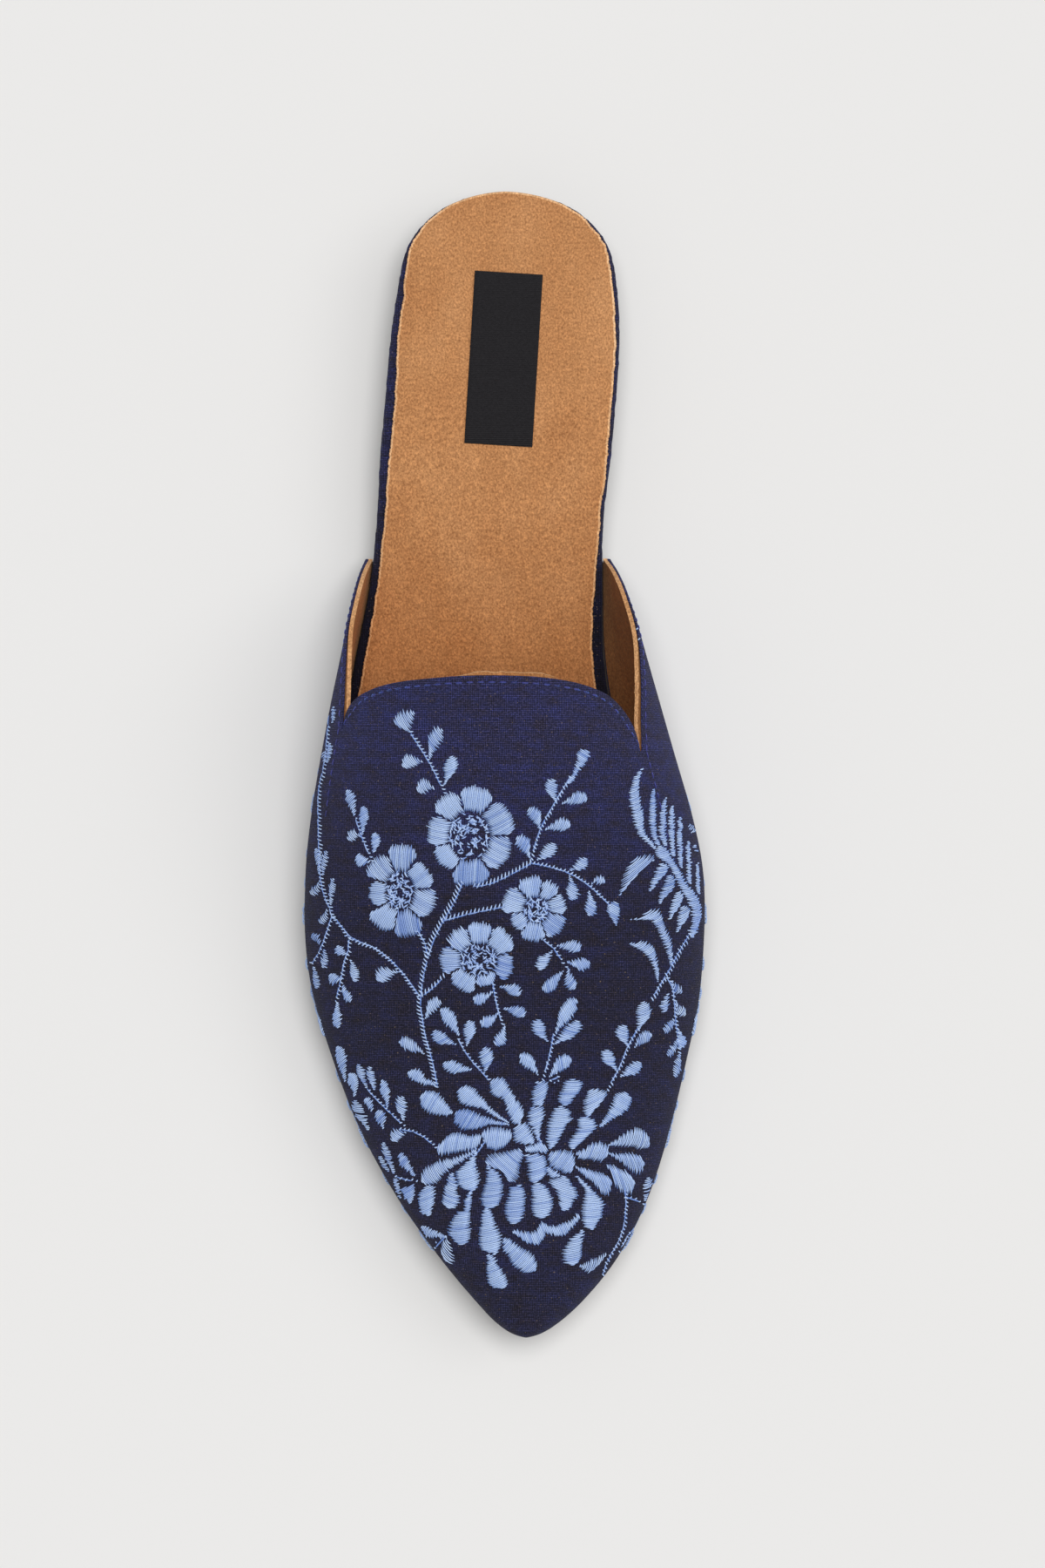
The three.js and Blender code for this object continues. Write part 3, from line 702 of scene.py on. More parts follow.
def upper_point(turn, v):
    """A point of the upper's outer face. v runs from -1 at the outer foot over the ridge to 1 at
    the inner foot, and on by 0.1 a step where the cloth turns under."""
    turn, v = np.broadcast_arrays(np.asarray(turn, float), np.asarray(v, float))
    along = along_at(turn)
    side = np.where(v < 0, -1.0, 1.0)
    under = np.clip((np.abs(v) - 1) / 0.1, 0, 3)
    steps = np.arange(4)
    foot_out = np.interp(under, steps, [step[0] for step in TURNED_FOOT])
    foot_height = np.interp(under, steps, [step[1] for step in TURNED_FOOT])
    ends = {s: outline_out(turn, s, np.where(side == s, foot_out, WALL_OUT)) for s in (-1, 1)}
    foot = np.where((side < 0)[..., None], ends[-1], ends[1])
    ridge = (outline_out(turn, -1, WALL_OUT) + outline_out(turn, 1, WALL_OUT)) / 2
    ridge_x = ridge[..., 0] + arch_column["ridge"](along) * BALL_WIDTH
    swell = np.where(side < 0, arch_column["outer"](along), arch_column["inner"](along)) * BALL_WIDTH
    belly = arch_column["belly"](along) * CREST_HEIGHT
    crest = arch_column["crest"](along) * CREST_HEIGHT
    up = 1 - np.clip(np.abs(v), 0, 1)
    climb = np.clip(up / WALL_SHARE, 0, 1)
    wall_x = foot[..., 0] + side * swell * (1 - (1 - climb) ** 2)
    wall_height = foot_height + (belly - foot_height) * climb
    angle = np.clip((up - WALL_SHARE) / (1 - WALL_SHARE), 0, 1) * math.pi / 2
    power = 2 / arch_column["square"](along)
    widest = foot[..., 0] + side * swell
    arch_x = ridge_x + (widest - ridge_x) * np.maximum(np.cos(angle), 0) ** power
    arch_height = belly + (crest - belly) * np.sin(angle) ** power
    on_wall = up < WALL_SHARE
    y = ridge[..., 1] + (foot[..., 1] - ridge[..., 1]) * np.minimum(np.abs(v), 1)
    height = np.where(on_wall, wall_height, arch_height)
    x = np.where(on_wall, wall_x, arch_x)
    return np.stack([x, y, sole_top_at(y) + JOINT_GAP + height], -1)


def upper_outward(turn, v):
    """The direction square to the upper's outer face."""
    tiny = 2e-3
    turn, v = np.broadcast_arrays(np.asarray(turn, float), np.asarray(v, float))
    before, after = np.minimum(turn, 1 - tiny) - tiny, np.minimum(turn, 1 - tiny) + tiny
    forward = upper_point(after, v) - upper_point(before, v)
    across = upper_point(turn, v + tiny) - upper_point(turn, v - tiny)
    outward = np.cross(forward, across)
    size = np.linalg.norm(outward, axis=-1, keepdims=True)
    at_tip = (turn > 1 - tiny) | (size[..., 0] < 1e-9)
    return np.where(at_tip[..., None], [0.0, -1.0, 0.0], outward / np.maximum(size, 1e-9))


def halve(low, high, is_low, rounds=26):
    """Closes in on where is_low stops being true between low and high."""
    for _ in range(rounds):
        middle = (low + high) / 2
        below = is_low(middle)
        low, high = np.where(below, middle, low), np.where(below, high, middle)
    return (low + high) / 2


def over_plan(plan):
    """The turn and v of the upper's points over some points in plan."""
    x, y = plan[:, 0], plan[:, 1]
    aim = y.copy()
    for _ in range(8):
        turn = turn_at(along_of(aim))
        side = np.where(x < upper_point(turn, 0 * turn)[:, 0], -1.0, 1.0)
        size = halve(
            0 * x, 0 * x + 1 - WALL_SHARE, lambda m: side * (upper_point(turn, side * m)[:, 0] - x) < 0
        )
        aim = aim + y - upper_point(turn, side * size)[:, 1]
    return np.column_stack([turn, side * size])


def smooth_curve(points, count):
    """An even curve through some points."""
    points = np.array(points, float)
    padded = np.concatenate([points[:1], points, points[-1:]])
    way = np.linspace(0, len(points) - 1, count)
    i = np.minimum(way.astype(int), len(points) - 2)
    t = (way - i)[:, None]
    a, b, c, d = (padded[i + k] for k in range(4))
    bend, twist = a - 2.5 * b + 2 * c - d / 2, 1.5 * b - a / 2 - 1.5 * c + d / 2
    return b + (c - a) / 2 * t + bend * t**2 + twist * t**3


def spread_evenly(points, count, measure=None):
    """Points at even steps along a line; measure gives their places in mm."""
    places = points if measure is None else measure(points)
    way = np.concatenate([[0], np.cumsum(np.linalg.norm(np.diff(places, axis=0), axis=1))])
    aims = np.linspace(0, way[-1], count)
    return np.column_stack([np.interp(aims, way, points[:, k]) for k in range(points.shape[1])])


def on_upper(cells):
    return upper_point(cells[:, 0], cells[:, 1])


def tongue_plan(grow):
    """The tongue's edge in plan, moved out by grow, which fades away at the notches."""
    curve = smooth_curve(TONGUE_EDGE, 400)
    plan = curve * [TONGUE_WIDTH, TONGUE_REACH] + [TONGUE_MIDDLE * BALL_WIDTH, THROAT_Y]
    run = np.gradient(plan, axis=0)
    run /= np.linalg.norm(run, axis=1, keepdims=True)
    share = np.linspace(0, 1, len(plan))
    fade = smoothstep(share, 0, 0.12) * (1 - smoothstep(share, 0.88, 1))
    return plan + np.column_stack([-run[:, 1], run[:, 0]]) * (grow * fade)[:, None]


def quarter_edge(notch, lift):
    """One quarter's top line, from the notch to the waist, raised by lift away from its ends."""
    side = math.copysign(1.0, notch[1])
    at_notch = upper_point(*notch)
    drop = at_notch[2] - sole_top_at(at_notch[1])
    line = smooth_curve(QUARTER_LINE, 300)
    y = at_notch[1] + (QUARTER_END_Y - at_notch[1]) * line[:, 0]
    fade = smoothstep(line[:, 0], 0, 0.15) * (1 - smoothstep(line[:, 0], 0.93, 1))
    height = sole_top_at(y) + drop * np.clip(line[:, 1], 0, 1) + lift * fade
    turn = turn_at(along_of(y))
    for _ in range(3):
        lowest = 0 * y + abs(notch[1]) * 0.5
        size = halve(lowest, 0 * y + 1, lambda m: upper_point(turn, side * m)[:, 2] > height)
        turn = turn_at(along_of(along_y(turn, side * size, y)))
    size[-1] = 1.0
    cells = np.column_stack([turn, side * size])
    cells[0] = notch
    return cells


def along_y(turn, v, y):
    """The y to aim a section at, so that its point at v stands at y."""
    return y_at(along_at(turn)) + y - upper_point(turn, v)[:, 1]


def topline(grow, lift):
    """The notches, the tongue's edge and both quarters' edges, as turns and v."""
    tongue = over_plan(tongue_plan(grow))
    outer, inner = tongue[0], tongue[-1]
    return tongue, quarter_edge(outer, lift), quarter_edge(inner, lift)


def patches_of(edges, rows, tongue_rows, quarter_rows, side_columns, middle_columns, margin):
    """Four grids of turns and v that meet along the notches: front, tongue, two quarters."""
    tongue, outer, inner = edges
    outer_notch, inner_notch = tongue[0], tongue[-1]
    share = np.linspace(0, 1, middle_columns + 1)
    middle_v = outer_notch[1] + (inner_notch[1] - outer_notch[1]) * share
    middle_turn = outer_notch[0] + (inner_notch[0] - outer_notch[0]) * share
    side_share = np.linspace(0, 1, side_columns + 1)
    turned = 1 + 0.1 * np.arange(margin, 0, -1)
    outer_v = np.concatenate([-turned, -1 + (outer_notch[1] + 1) * side_share])
    inner_v = np.concatenate([inner_notch[1] + (1 - inner_notch[1]) * side_share, turned[::-1]])
    front_v = np.concatenate([outer_v[:-1], middle_v, inner_v[1:]])
    start = np.concatenate([0 * outer_v[:-1] + outer_notch[0], middle_turn, 0 * inner_v[1:] + inner_notch[0]])
    down = np.linspace(0, 1, rows + 1)[:, None]
    front = np.stack([start + (1 - start) * down, front_v + 0 * down], -1)

    corners = [int(len(tongue) * corner) for corner in TONGUE_CORNERS]
    left = spread_evenly(tongue[: corners[0] + 1], tongue_rows + 1, on_upper)
    top = spread_evenly(tongue[corners[0] : corners[1] + 1], middle_columns + 1, on_upper)
    right = spread_evenly(tongue[corners[1] :][::-1], tongue_rows + 1, on_upper)
    bottom = np.column_stack([middle_turn, middle_v])
    u, w = share[None, :, None], np.linspace(0, 1, tongue_rows + 1)[:, None, None]
    flap = (1 - w) * bottom[None] + w * top[None] + (1 - u) * left[:, None] + u * right[:, None]
    flap = flap - (1 - u) * (1 - w) * bottom[0] - u * (1 - w) * bottom[-1]
    flap = (flap - (1 - u) * w * top[0] - u * w * top[-1])[::-1]

    quarters = []
    for edge, side in ((outer, -1), (inner, 1)):
        line = spread_evenly(edge, quarter_rows + 1, on_upper)[::-1]
        inside = side + (line[:, 1:] - side) * side_share
        tucked = side * turned + 0 * line[:, :1]
        v = np.concatenate([tucked, inside], 1)[:, ::-side]
        quarters.append(np.stack([line[:, :1] + 0 * v, v], -1))
    return [front, flap, *quarters]


def cloth_place(cells):
    """Where a point lies on the flat cloth: its way round from the ridge, and its y."""
    turn, v = cells[..., 0], cells[..., 1]
    steps = np.linspace(0, 1, 25)
    line = upper_point(turn[..., None], v[..., None] * steps)
    way = np.linalg.norm(np.diff(line, axis=-2), axis=-1).sum(-1)
    return np.stack([np.sign(v) * way, upper_point(turn, v)[..., 1]], -1)


def join(parts, name):
    bpy.ops.object.select_all(action="DESELECT")
    for part in parts:
        part.select_set(True)
    bpy.context.view_layer.objects.active = parts[0]
    bpy.ops.object.join()
    bpy.context.object.name = name
    return bpy.context.object


def shell(name, patches, sink, thickness, rounded):
    """The patches as one wall, sunk below the upper's outer face and given its thickness. The faces of
    an edge that isn't rounded take the piece's second material."""
    parts = []
    for number, cells in enumerate(patches):
        points = upper_point(cells[..., 0], cells[..., 1])
        if sink:
            points = points - upper_outward(cells[..., 0], cells[..., 1]) * sink
        parts.append(grid_through(f"{name}_{number}", points, cloth_place(cells)))
    piece = join(parts, name)
    close_seams(piece, face_out=False)
    if not rounded:
        piece.data.materials.append(None)
        piece.data.materials.append(None)
    wall = {"thickness": thickness / 1000, "offset": -1, "use_even_offset": False}
    apply_modifier(piece, "SOLIDIFY", material_offset_rim=int(not rounded), **wall)
    if rounded:
        apply_modifier(piece, "SUBSURF", levels=1, render_levels=1)
    smooth_faces(piece, 60)
    return piece


upper = shell(
    "upper_cloth",
    patches_of(
        topline(0, 0),
        rows=84,
        tongue_rows=9,
        quarter_rows=30,
        side_columns=20,
        middle_columns=34,
        margin=3,
    ),
    sink=0,
    thickness=CLOTH_THICKNESS,
    rounded=True,
)
# Painted light: the cloth is painted paler and bluer towards the throat, which faces up into the light.
upper_cloth = navy_cloth("upper_cloth_weave", "UV", 1.0, (-0.035, 0.005, grey(1), (1.5, 1.56, 1.9)))
dress(upper, upper_cloth, "upper")

# Lining: tan suede backed onto the cloth, cut flush with the fold. Its raw edge shows as a paler,
# slightly fuzzy line along the quarters and at the middle of the tongue.
LINING_THICKNESS = 0.95
LINING_PEEK = 0.55
LINING_HIDDEN = 0.35
FRAYED = (0.44, 0.6)  # where the lining shows, in shares of the tongue's edge
FADE = 0.04  # of it at both ends
TONGUE_FRAY, QUARTER_FRAY = 0.12, 0.09  # unevenness of the raw edge
QUARTER_PEEK = 0.5

fray = np.random.default_rng(13)
share = np.linspace(0, 1, 400)
shown = smoothstep(share, FRAYED[0], FRAYED[0] + FADE) * (1 - smoothstep(share, FRAYED[1] - FADE, FRAYED[1]))
peek = (LINING_PEEK + LINING_HIDDEN + TONGUE_FRAY * fray.normal(size=400)) * shown - LINING_HIDDEN
lift = QUARTER_PEEK + QUARTER_FRAY * fray.normal(size=300)
lining = shell(
    "lining_suede",
    patches_of(
        topline(peek, lift),
        rows=50,
        tongue_rows=7,
        quarter_rows=110,
        side_columns=12,
        middle_columns=60,
        margin=0,
    ),
    sink=CLOTH_THICKNESS + 0.03,
    thickness=LINING_THICKNESS,
    rounded=False,
)
lining_suede = suede("lining_suede_nap", (156, 102, 62), (186, 130, 84), (206, 152, 106), nap=0.2)
raw_edge = suede("lining_raw_edge", (205, 156, 112), (224, 178, 134), (236, 194, 152), nap=0.25)
painted = lining_suede.shader.inputs["Base Color"].links[0].from_socket
# Painted light and shade: the lining is painted lighter on the outer quarter, whose inside faces the key light, and
# darker on the inner quarter, whose inside lies in shade.
across = lining_suede.way(lining_suede.place(), "X", -0.02, 0.02)
lit_and_shaded_lining = lining_suede.tint(painted, across, 1.0, (0, grey(1.2)), (1, grey(0.68)))
lining_suede.set("Base Color", lit_and_shaded_lining)
dress(lining, lining_suede, None)
lining.data.materials[1] = raw_edge.material

# Topstitching: one row of fine violet-blue thread a little inside the folded edge, sewn by machine
# through cloth and lining, round the tongue, the bottoms of the notches and along both quarters.
STITCH_INSET = 1.5
STITCH_LENGTH = 1.75
STITCH_PITCH = 2.5
STITCH_WIDTH = 0.4
STITCH_TAIL = 0.05  # how far the row goes on below a notch, in turns


def strands(name, lines, outward, widths, heights, tones):
    """Thread strands as one mesh. lines and outward are strands by points by xyz, in mm; heights is how
    proud each strand stands at its middle, and its ends sink into the cloth."""
    count, points = lines.shape[:2]
    share = np.linspace(0, 1, points)
    full = np.clip(np.sin(math.pi * share), 0, 1) ** 0.45
    middle = lines + outward * (heights[:, None] * full - 0.12 * (1 - full))[..., None]
    run = np.gradient(middle, axis=1)
    run /= np.maximum(np.linalg.norm(run, axis=-1, keepdims=True), 1e-9)
    across = np.cross(run, outward)
    across /= np.maximum(np.linalg.norm(across, axis=-1, keepdims=True), 1e-9)
    up = np.cross(across, run)
    taper = np.where((share > 0) & (share < 1), 1.0, 0.55)
    half = (widths[:, None] / 2 * taper)[..., None]
    wide, tall = across * half, up * half * 0.8
    corners = [middle + wide, middle + tall, middle - wide, middle - tall]
    places = np.stack(corners, 2).reshape(-1, 3)
    ring = np.arange(4)
    side = np.stack([ring, (ring + 1) % 4, (ring + 1) % 4 + 4, ring + 4], -1)
    body = (side[None] + 4 * np.arange(points - 1)[:, None, None]).reshape(-1, 4)
    ends = np.array([[3, 2, 1, 0], 4 * (points - 1) + ring])
    faces = (np.concatenate([body, ends])[None] + 4 * points * np.arange(count)[:, None, None]).reshape(-1, 4)
    mesh = bpy.data.meshes.new(name)
    mesh.from_pydata((places / 1000).tolist(), [], faces.tolist())
    tone = mesh.attributes.new("tone", "FLOAT", "POINT")
    tone.data.foreach_set("value", np.repeat(tones, 4 * points).astype(np.float32))
    piece = bpy.data.objects.new(name, mesh)
    bpy.context.scene.collection.objects.link(piece)
    close_seams(piece, distance=0.0001)
    select_only(piece)
    bpy.ops.object.shade_smooth()
    return piece


def thread(name, dark, light, roughness):
    """Glossy thread, each strand with its own tone."""
    yarn = Finish(name, roughness, 0.5)
    tone = yarn.node("Attribute", {}, attribute_name="tone").outputs["Fac"]
    twist = yarn.grain(yarn.place(), 0.25, 2.0)
    shade = yarn.reckon("ADD", yarn.reckon("MULTIPLY", tone, 0.85), yarn.reckon("MULTIPLY", twist, 0.25))
    yarn.set("Base Color", yarn.ramp(shade, (0.02, dark), (0.62, light)))
    yarn.relief(twist, 0.05)
    yarn.sheen(1.0, 0.4, 0.17, 0.37, 1.0)
    return yarn


def inside_topline():
    """The stitching's line in plan on the tongue, then each quarter's as turns and v."""
    flap_line = over_plan(tongue_plan(-STITCH_INSET)[14:-10])
    quarters = [quarter_edge(notch, 0) for notch in (over_plan(tongue_plan(0))[i] for i in (0, -1))]
    lines = [flap_line]
    for edge in quarters:
        side = np.sign(edge[0, 1])
        lower = edge.copy()
        size = np.abs(edge[:, 1])
        step = 0.004
        above = upper_point(edge[:, 0], side * np.maximum(size - step, 0))
        rise = np.linalg.norm(on_upper(edge) - above, axis=-1)
        lower[:, 1] = side * np.minimum(size + step * STITCH_INSET / np.maximum(rise, 1e-6), 1)
        lines.append(lower[6:-12])
        start = lower[6]
        lines.append(np.linspace(start, start + [STITCH_TAIL, 0], 40))
    return lines


needle = np.random.default_rng(5)
seam_lines = []
for cells in inside_topline():
    length = np.linalg.norm(np.diff(on_upper(cells), axis=0), axis=1).sum()
    fine = spread_evenly(cells, int(length / 0.25) + 2, on_upper)
    step, pitch = int(round(STITCH_LENGTH / 0.25)), int(round(STITCH_PITCH / 0.25))
    for start in range(0, len(fine) - step, pitch):
        seam_lines.append(fine[start : start + step + 1][np.rint(np.linspace(0, step, 5)).astype(int)])
seam_lines = np.array(seam_lines)
seam_outward = upper_outward(seam_lines[..., 0], seam_lines[..., 1])
topstitch = strands(
    "topstitching",
    upper_point(seam_lines[..., 0], seam_lines[..., 1]),
    seam_outward,
    np.full(len(seam_lines), STITCH_WIDTH),
    np.full(len(seam_lines), 0.05),
    needle.random(len(seam_lines)),
)
dress(topstitch, thread("topstitch_thread", swatch(38, 36, 92), swatch(62, 60, 138), 0.5), None)

# Embroidery: pale blue rayon laid in satin stitch by machine before the cloth was cut, on a
# traditional pattern of branches, blossoms and one large chrysanthemum. Thread by thread, each stitch
# crosses its leaf, petal or stem and dives into the cloth at both ends.
THREAD_WIDTH = 0.35
THREAD_STEP = 0.37  # from one thread to the next
PADDING = 0.11  # height that a stitch gains for each mm of its length
TALLEST = 0.7
STEM_STEP = 0.86
EDGE_SHIFT = 0.13  # unevenness of a shape's edge
TOOTH = 0.26  # how far every other thread stops short
TOOTH_FROM = 1.2  # threads shorter than this have no teeth
SHORTEST, LONG = 0.35, 2.2  # no stitch is shorter, and one over the second bends at more points
DIVE = 0.08  # how far past a shape's edge its stitches go down
LEAST_HEIGHT = 0.16
TONE_SPREAD = 0.12
STEM_SLANT, STEM_HALF, LAID_ASIDE = 0.6, 0.42, 0.2  # of a stem's stitches, in shares of its width
PETAL_STEPS = 21
PETAL_RAGGED = 0.16
LOOPS = 13  # in a blossom's disc, for each mm of its half axes
STEEPEST = 2.2  # how much longer than on the chart a stitch may run down a steep wall

cloth_tree = BVHTree.FromObject(upper, bpy.context.evaluated_depsgraph_get())
eye = Vector(CAMERA_PLACE)


def seen_from_above(x, y):
    """Where the cloth lies under a point of the chart, and its outward direction."""
    aim = (Vector((x / 1000, y / 1000, PICTURE_LEVEL)) - eye).normalized()
    return cloth_tree.ray_cast(eye, aim)[:2]


def seen_from_side(side):
    """Looks at the wall from its side, up to where the cloth turns over towards the top."""

    def look(y, z):
        start = Vector((side * 0.2, y / 1000, z / 1000))
        place, direction = cloth_tree.ray_cast(start, Vector((-side, 0, 0)))[:2]
        return (place, direction) if place and direction.z < 0.3 else (None, None)

    return look


class Hoop:
    """Collects stitches and lays them on the cloth."""

    def __init__(self, seed):
        self.hand = np.random.default_rng(seed)
        self.stitches = {4: [], 6: []}

    def stitch(self, first, last, look, tone, loft=1.0):
        jitter = self.hand.normal(0, EDGE_SHIFT, 2)
        first, last = np.asarray(first, float), np.asarray(last, float)
        length = float(np.linalg.norm(last - first))
        if length < SHORTEST:
            return
        way = (last - first) / length
        first, last = first - way * (jitter[0] + DIVE), last + way * (jitter[1] + DIVE)
        points = 6 if length > LONG else 4
        places, directions = self.lay(first, last, points, look)
        stretch = np.linalg.norm(np.diff(places, axis=0), axis=1).sum() / length if places is not None else 0
        if stretch > STEEPEST:
            middle, half = (first + last) / 2, (last - first) / 2 * STEEPEST / stretch
            places, directions = self.lay(middle - half, middle + half, points, look)
        if places is None:
            return
        longest = np.linalg.norm(np.diff(places, axis=0), axis=1).max()
        if longest > 3 * length / (points - 1) + 1:
            return
        height = min(LEAST_HEIGHT + PADDING * length * loft, TALLEST)
        own = float(np.clip(tone + self.hand.normal(0, TONE_SPREAD), 0, 1))
        self.stitches[points].append((places, np.array(directions), height, own))

    def lay(self, first, last, points, look):
        seen = [look(*(first + (last - first) * k / (points - 1))) for k in range(points)]
        if any(place is None for place, direction in seen):
            return None, None
        places, directions = zip(*seen)
        return np.array([np.array(place) * 1000 for place in places]), list(directions)

    def finish(self, name):
        made = []
        for points, rows in self.stitches.items():
            if rows:
                lines, outward, heights, tones = (np.array(part) for part in zip(*rows))
                outward = outward / np.linalg.norm(outward, axis=-1, keepdims=True)
                made.append(strands(name, lines, outward, np.full(len(rows), THREAD_WIDTH), heights, tones))
        return join(made, name)


def square_to(direction):
    return np.array([-direction[1], direction[0]])


def sew_fill(hoop, outline, direction, look, tone, loft=1.0):
    """Fills an outline with threads side by side along a direction."""
    direction = np.array(direction) / np.linalg.norm(direction)
    across = square_to(direction)
    corners = np.array(outline)
    after = np.roll(corners, -1, axis=0)
    levels, next_levels = corners @ across, after @ across
    count = max(int(round(np.ptp(levels) / THREAD_STEP)), 2)
    for row, level in enumerate(levels.min() + np.ptp(levels) * (np.arange(count) + 0.5) / count):
        crossed = (levels > level) != (next_levels > level)
        share = (level - levels[crossed]) / (next_levels - levels)[crossed]
        ends = corners[crossed] + (after - corners)[crossed] * share[:, None]
        ends = ends[np.argsort(ends @ direction)]
        for first, last in zip(ends[::2], ends[1::2]):
            tooth = direction * TOOTH * ((last - first) @ direction > TOOTH_FROM)
            hoop.stitch(first + tooth * (row % 2), last - tooth * (1 - row % 2), look, tone, loft)


def sew_leaf(hoop, tip, base, width, look, slant=38):
    """A leaf narrow at its base and full at its tip, its threads slanted across."""
    tip, base = np.array(tip), np.array(base)
    length = np.linalg.norm(tip - base)
    way = (tip - base) / length
    share = np.linspace(0, 1, 26)[1:-1]
    half = width * 0.53 * np.sin(math.pi * share**1.7) ** 0.72
    spine, side = base + way * length * share[:, None], square_to(way) * half[:, None]
    lean = math.radians(slant * hoop.hand.choice([-1, 1]))
    direction = square_to(way) * math.cos(lean) + way * math.sin(lean)
    outline = np.concatenate([spine + side, (spine - side)[::-1]])
    sew_fill(hoop, outline, direction, look, 0.5 + hoop.hand.normal(0, 0.08))


def sew_petal(hoop, slant, points, look):
    """A petal or blade drawn by its outline, with its threads at an angle in degrees."""
    count = len(points)
    outline = smooth_curve([points[-1], *points, points[0], points[1]], 4 * (count + 2) + 1)[4:-4]
    direction = (math.cos(math.radians(slant)), math.sin(math.radians(slant)))
    sew_fill(hoop, outline[:-1], direction, look, 0.5 + hoop.hand.normal(0, 0.07))


def sew_stem(hoop, width, points, look):
    """A stem: a laid thread along it, and short slanted stitches over it, a little apart."""
    line = smooth_curve(points, 120)
    length = np.linalg.norm(np.diff(line, axis=0), axis=1).sum()
    even = spread_evenly(line, max(int(length / STEM_STEP), 4))
    run = np.gradient(even, axis=0)
    run /= np.linalg.norm(run, axis=1, keepdims=True)
    for place, way in zip(even, run):
        across = (square_to(way) + way * STEM_SLANT) * width * STEM_HALF
        hoop.stitch(place + across, place - across, look, 0.6)
    laid = even - np.column_stack([-run[:, 1], run[:, 0]]) * width * LAID_ASIDE
    for first, last in zip(laid[:-3:3], laid[3::3]):
        hoop.stitch(first, last, look, 0.1, 0)


def sew_blossom(hoop, centre, disc, tips, look):
    """Petals of threads laid lengthwise round a disc that is left dark but for loose loops."""
    centre, disc = np.array(centre), np.array(disc)
    angles = np.array([math.atan2(tip[1] - centre[1], tip[0] - centre[0]) for tip in tips])
    reach = np.array([np.linalg.norm(np.array(tip) - centre) for tip in tips])
    order = np.argsort(angles)
    angles, reach = angles[order], reach[order]
    u = np.linspace(-1, 1, PETAL_STEPS)
    for i, (angle, far) in enumerate(zip(angles, reach)):
        before = (angle - angles[i - 1]) % (2 * math.pi) / 2
        after = (angles[(i + 1) % len(angles)] - angle) % (2 * math.pi) / 2
        swing = u * np.where(u < 0, before, after)
        rim = angle + swing * 0.97
        edge = far * (1.02 - 0.03 * u**2 - 0.17 * np.abs(u) ** 5)
        edge = edge + hoop.hand.normal(0, PETAL_RAGGED, PETAL_STEPS)
        outer = centre + edge[:, None] * np.column_stack([np.cos(rim), np.sin(rim)])
        root = angle + swing
        inner = centre + disc * 0.97 * np.column_stack([np.cos(root), np.sin(root)])
        direction = np.array([math.cos(angle), math.sin(angle)])
        outline = np.concatenate([outer, inner[::-1]])
        sew_fill(hoop, outline, direction, look, 0.5 + hoop.hand.normal(0, 0.1), 0.5)
    for _ in range(int(LOOPS * disc.sum())):
        angle, share = hoop.hand.uniform(0, 2 * math.pi), hoop.hand.uniform(0.1, 0.98) ** 0.7
        place = centre + disc * share * [math.cos(angle), math.sin(angle)]
        lie = angle + math.pi / 2 + hoop.hand.normal(0, 0.9)
        half_loop = np.array([math.cos(lie), math.sin(lie)]) * hoop.hand.uniform(0.35, 0.75)
        hoop.stitch(place - half_loop, place + half_loop, look, 0.4)


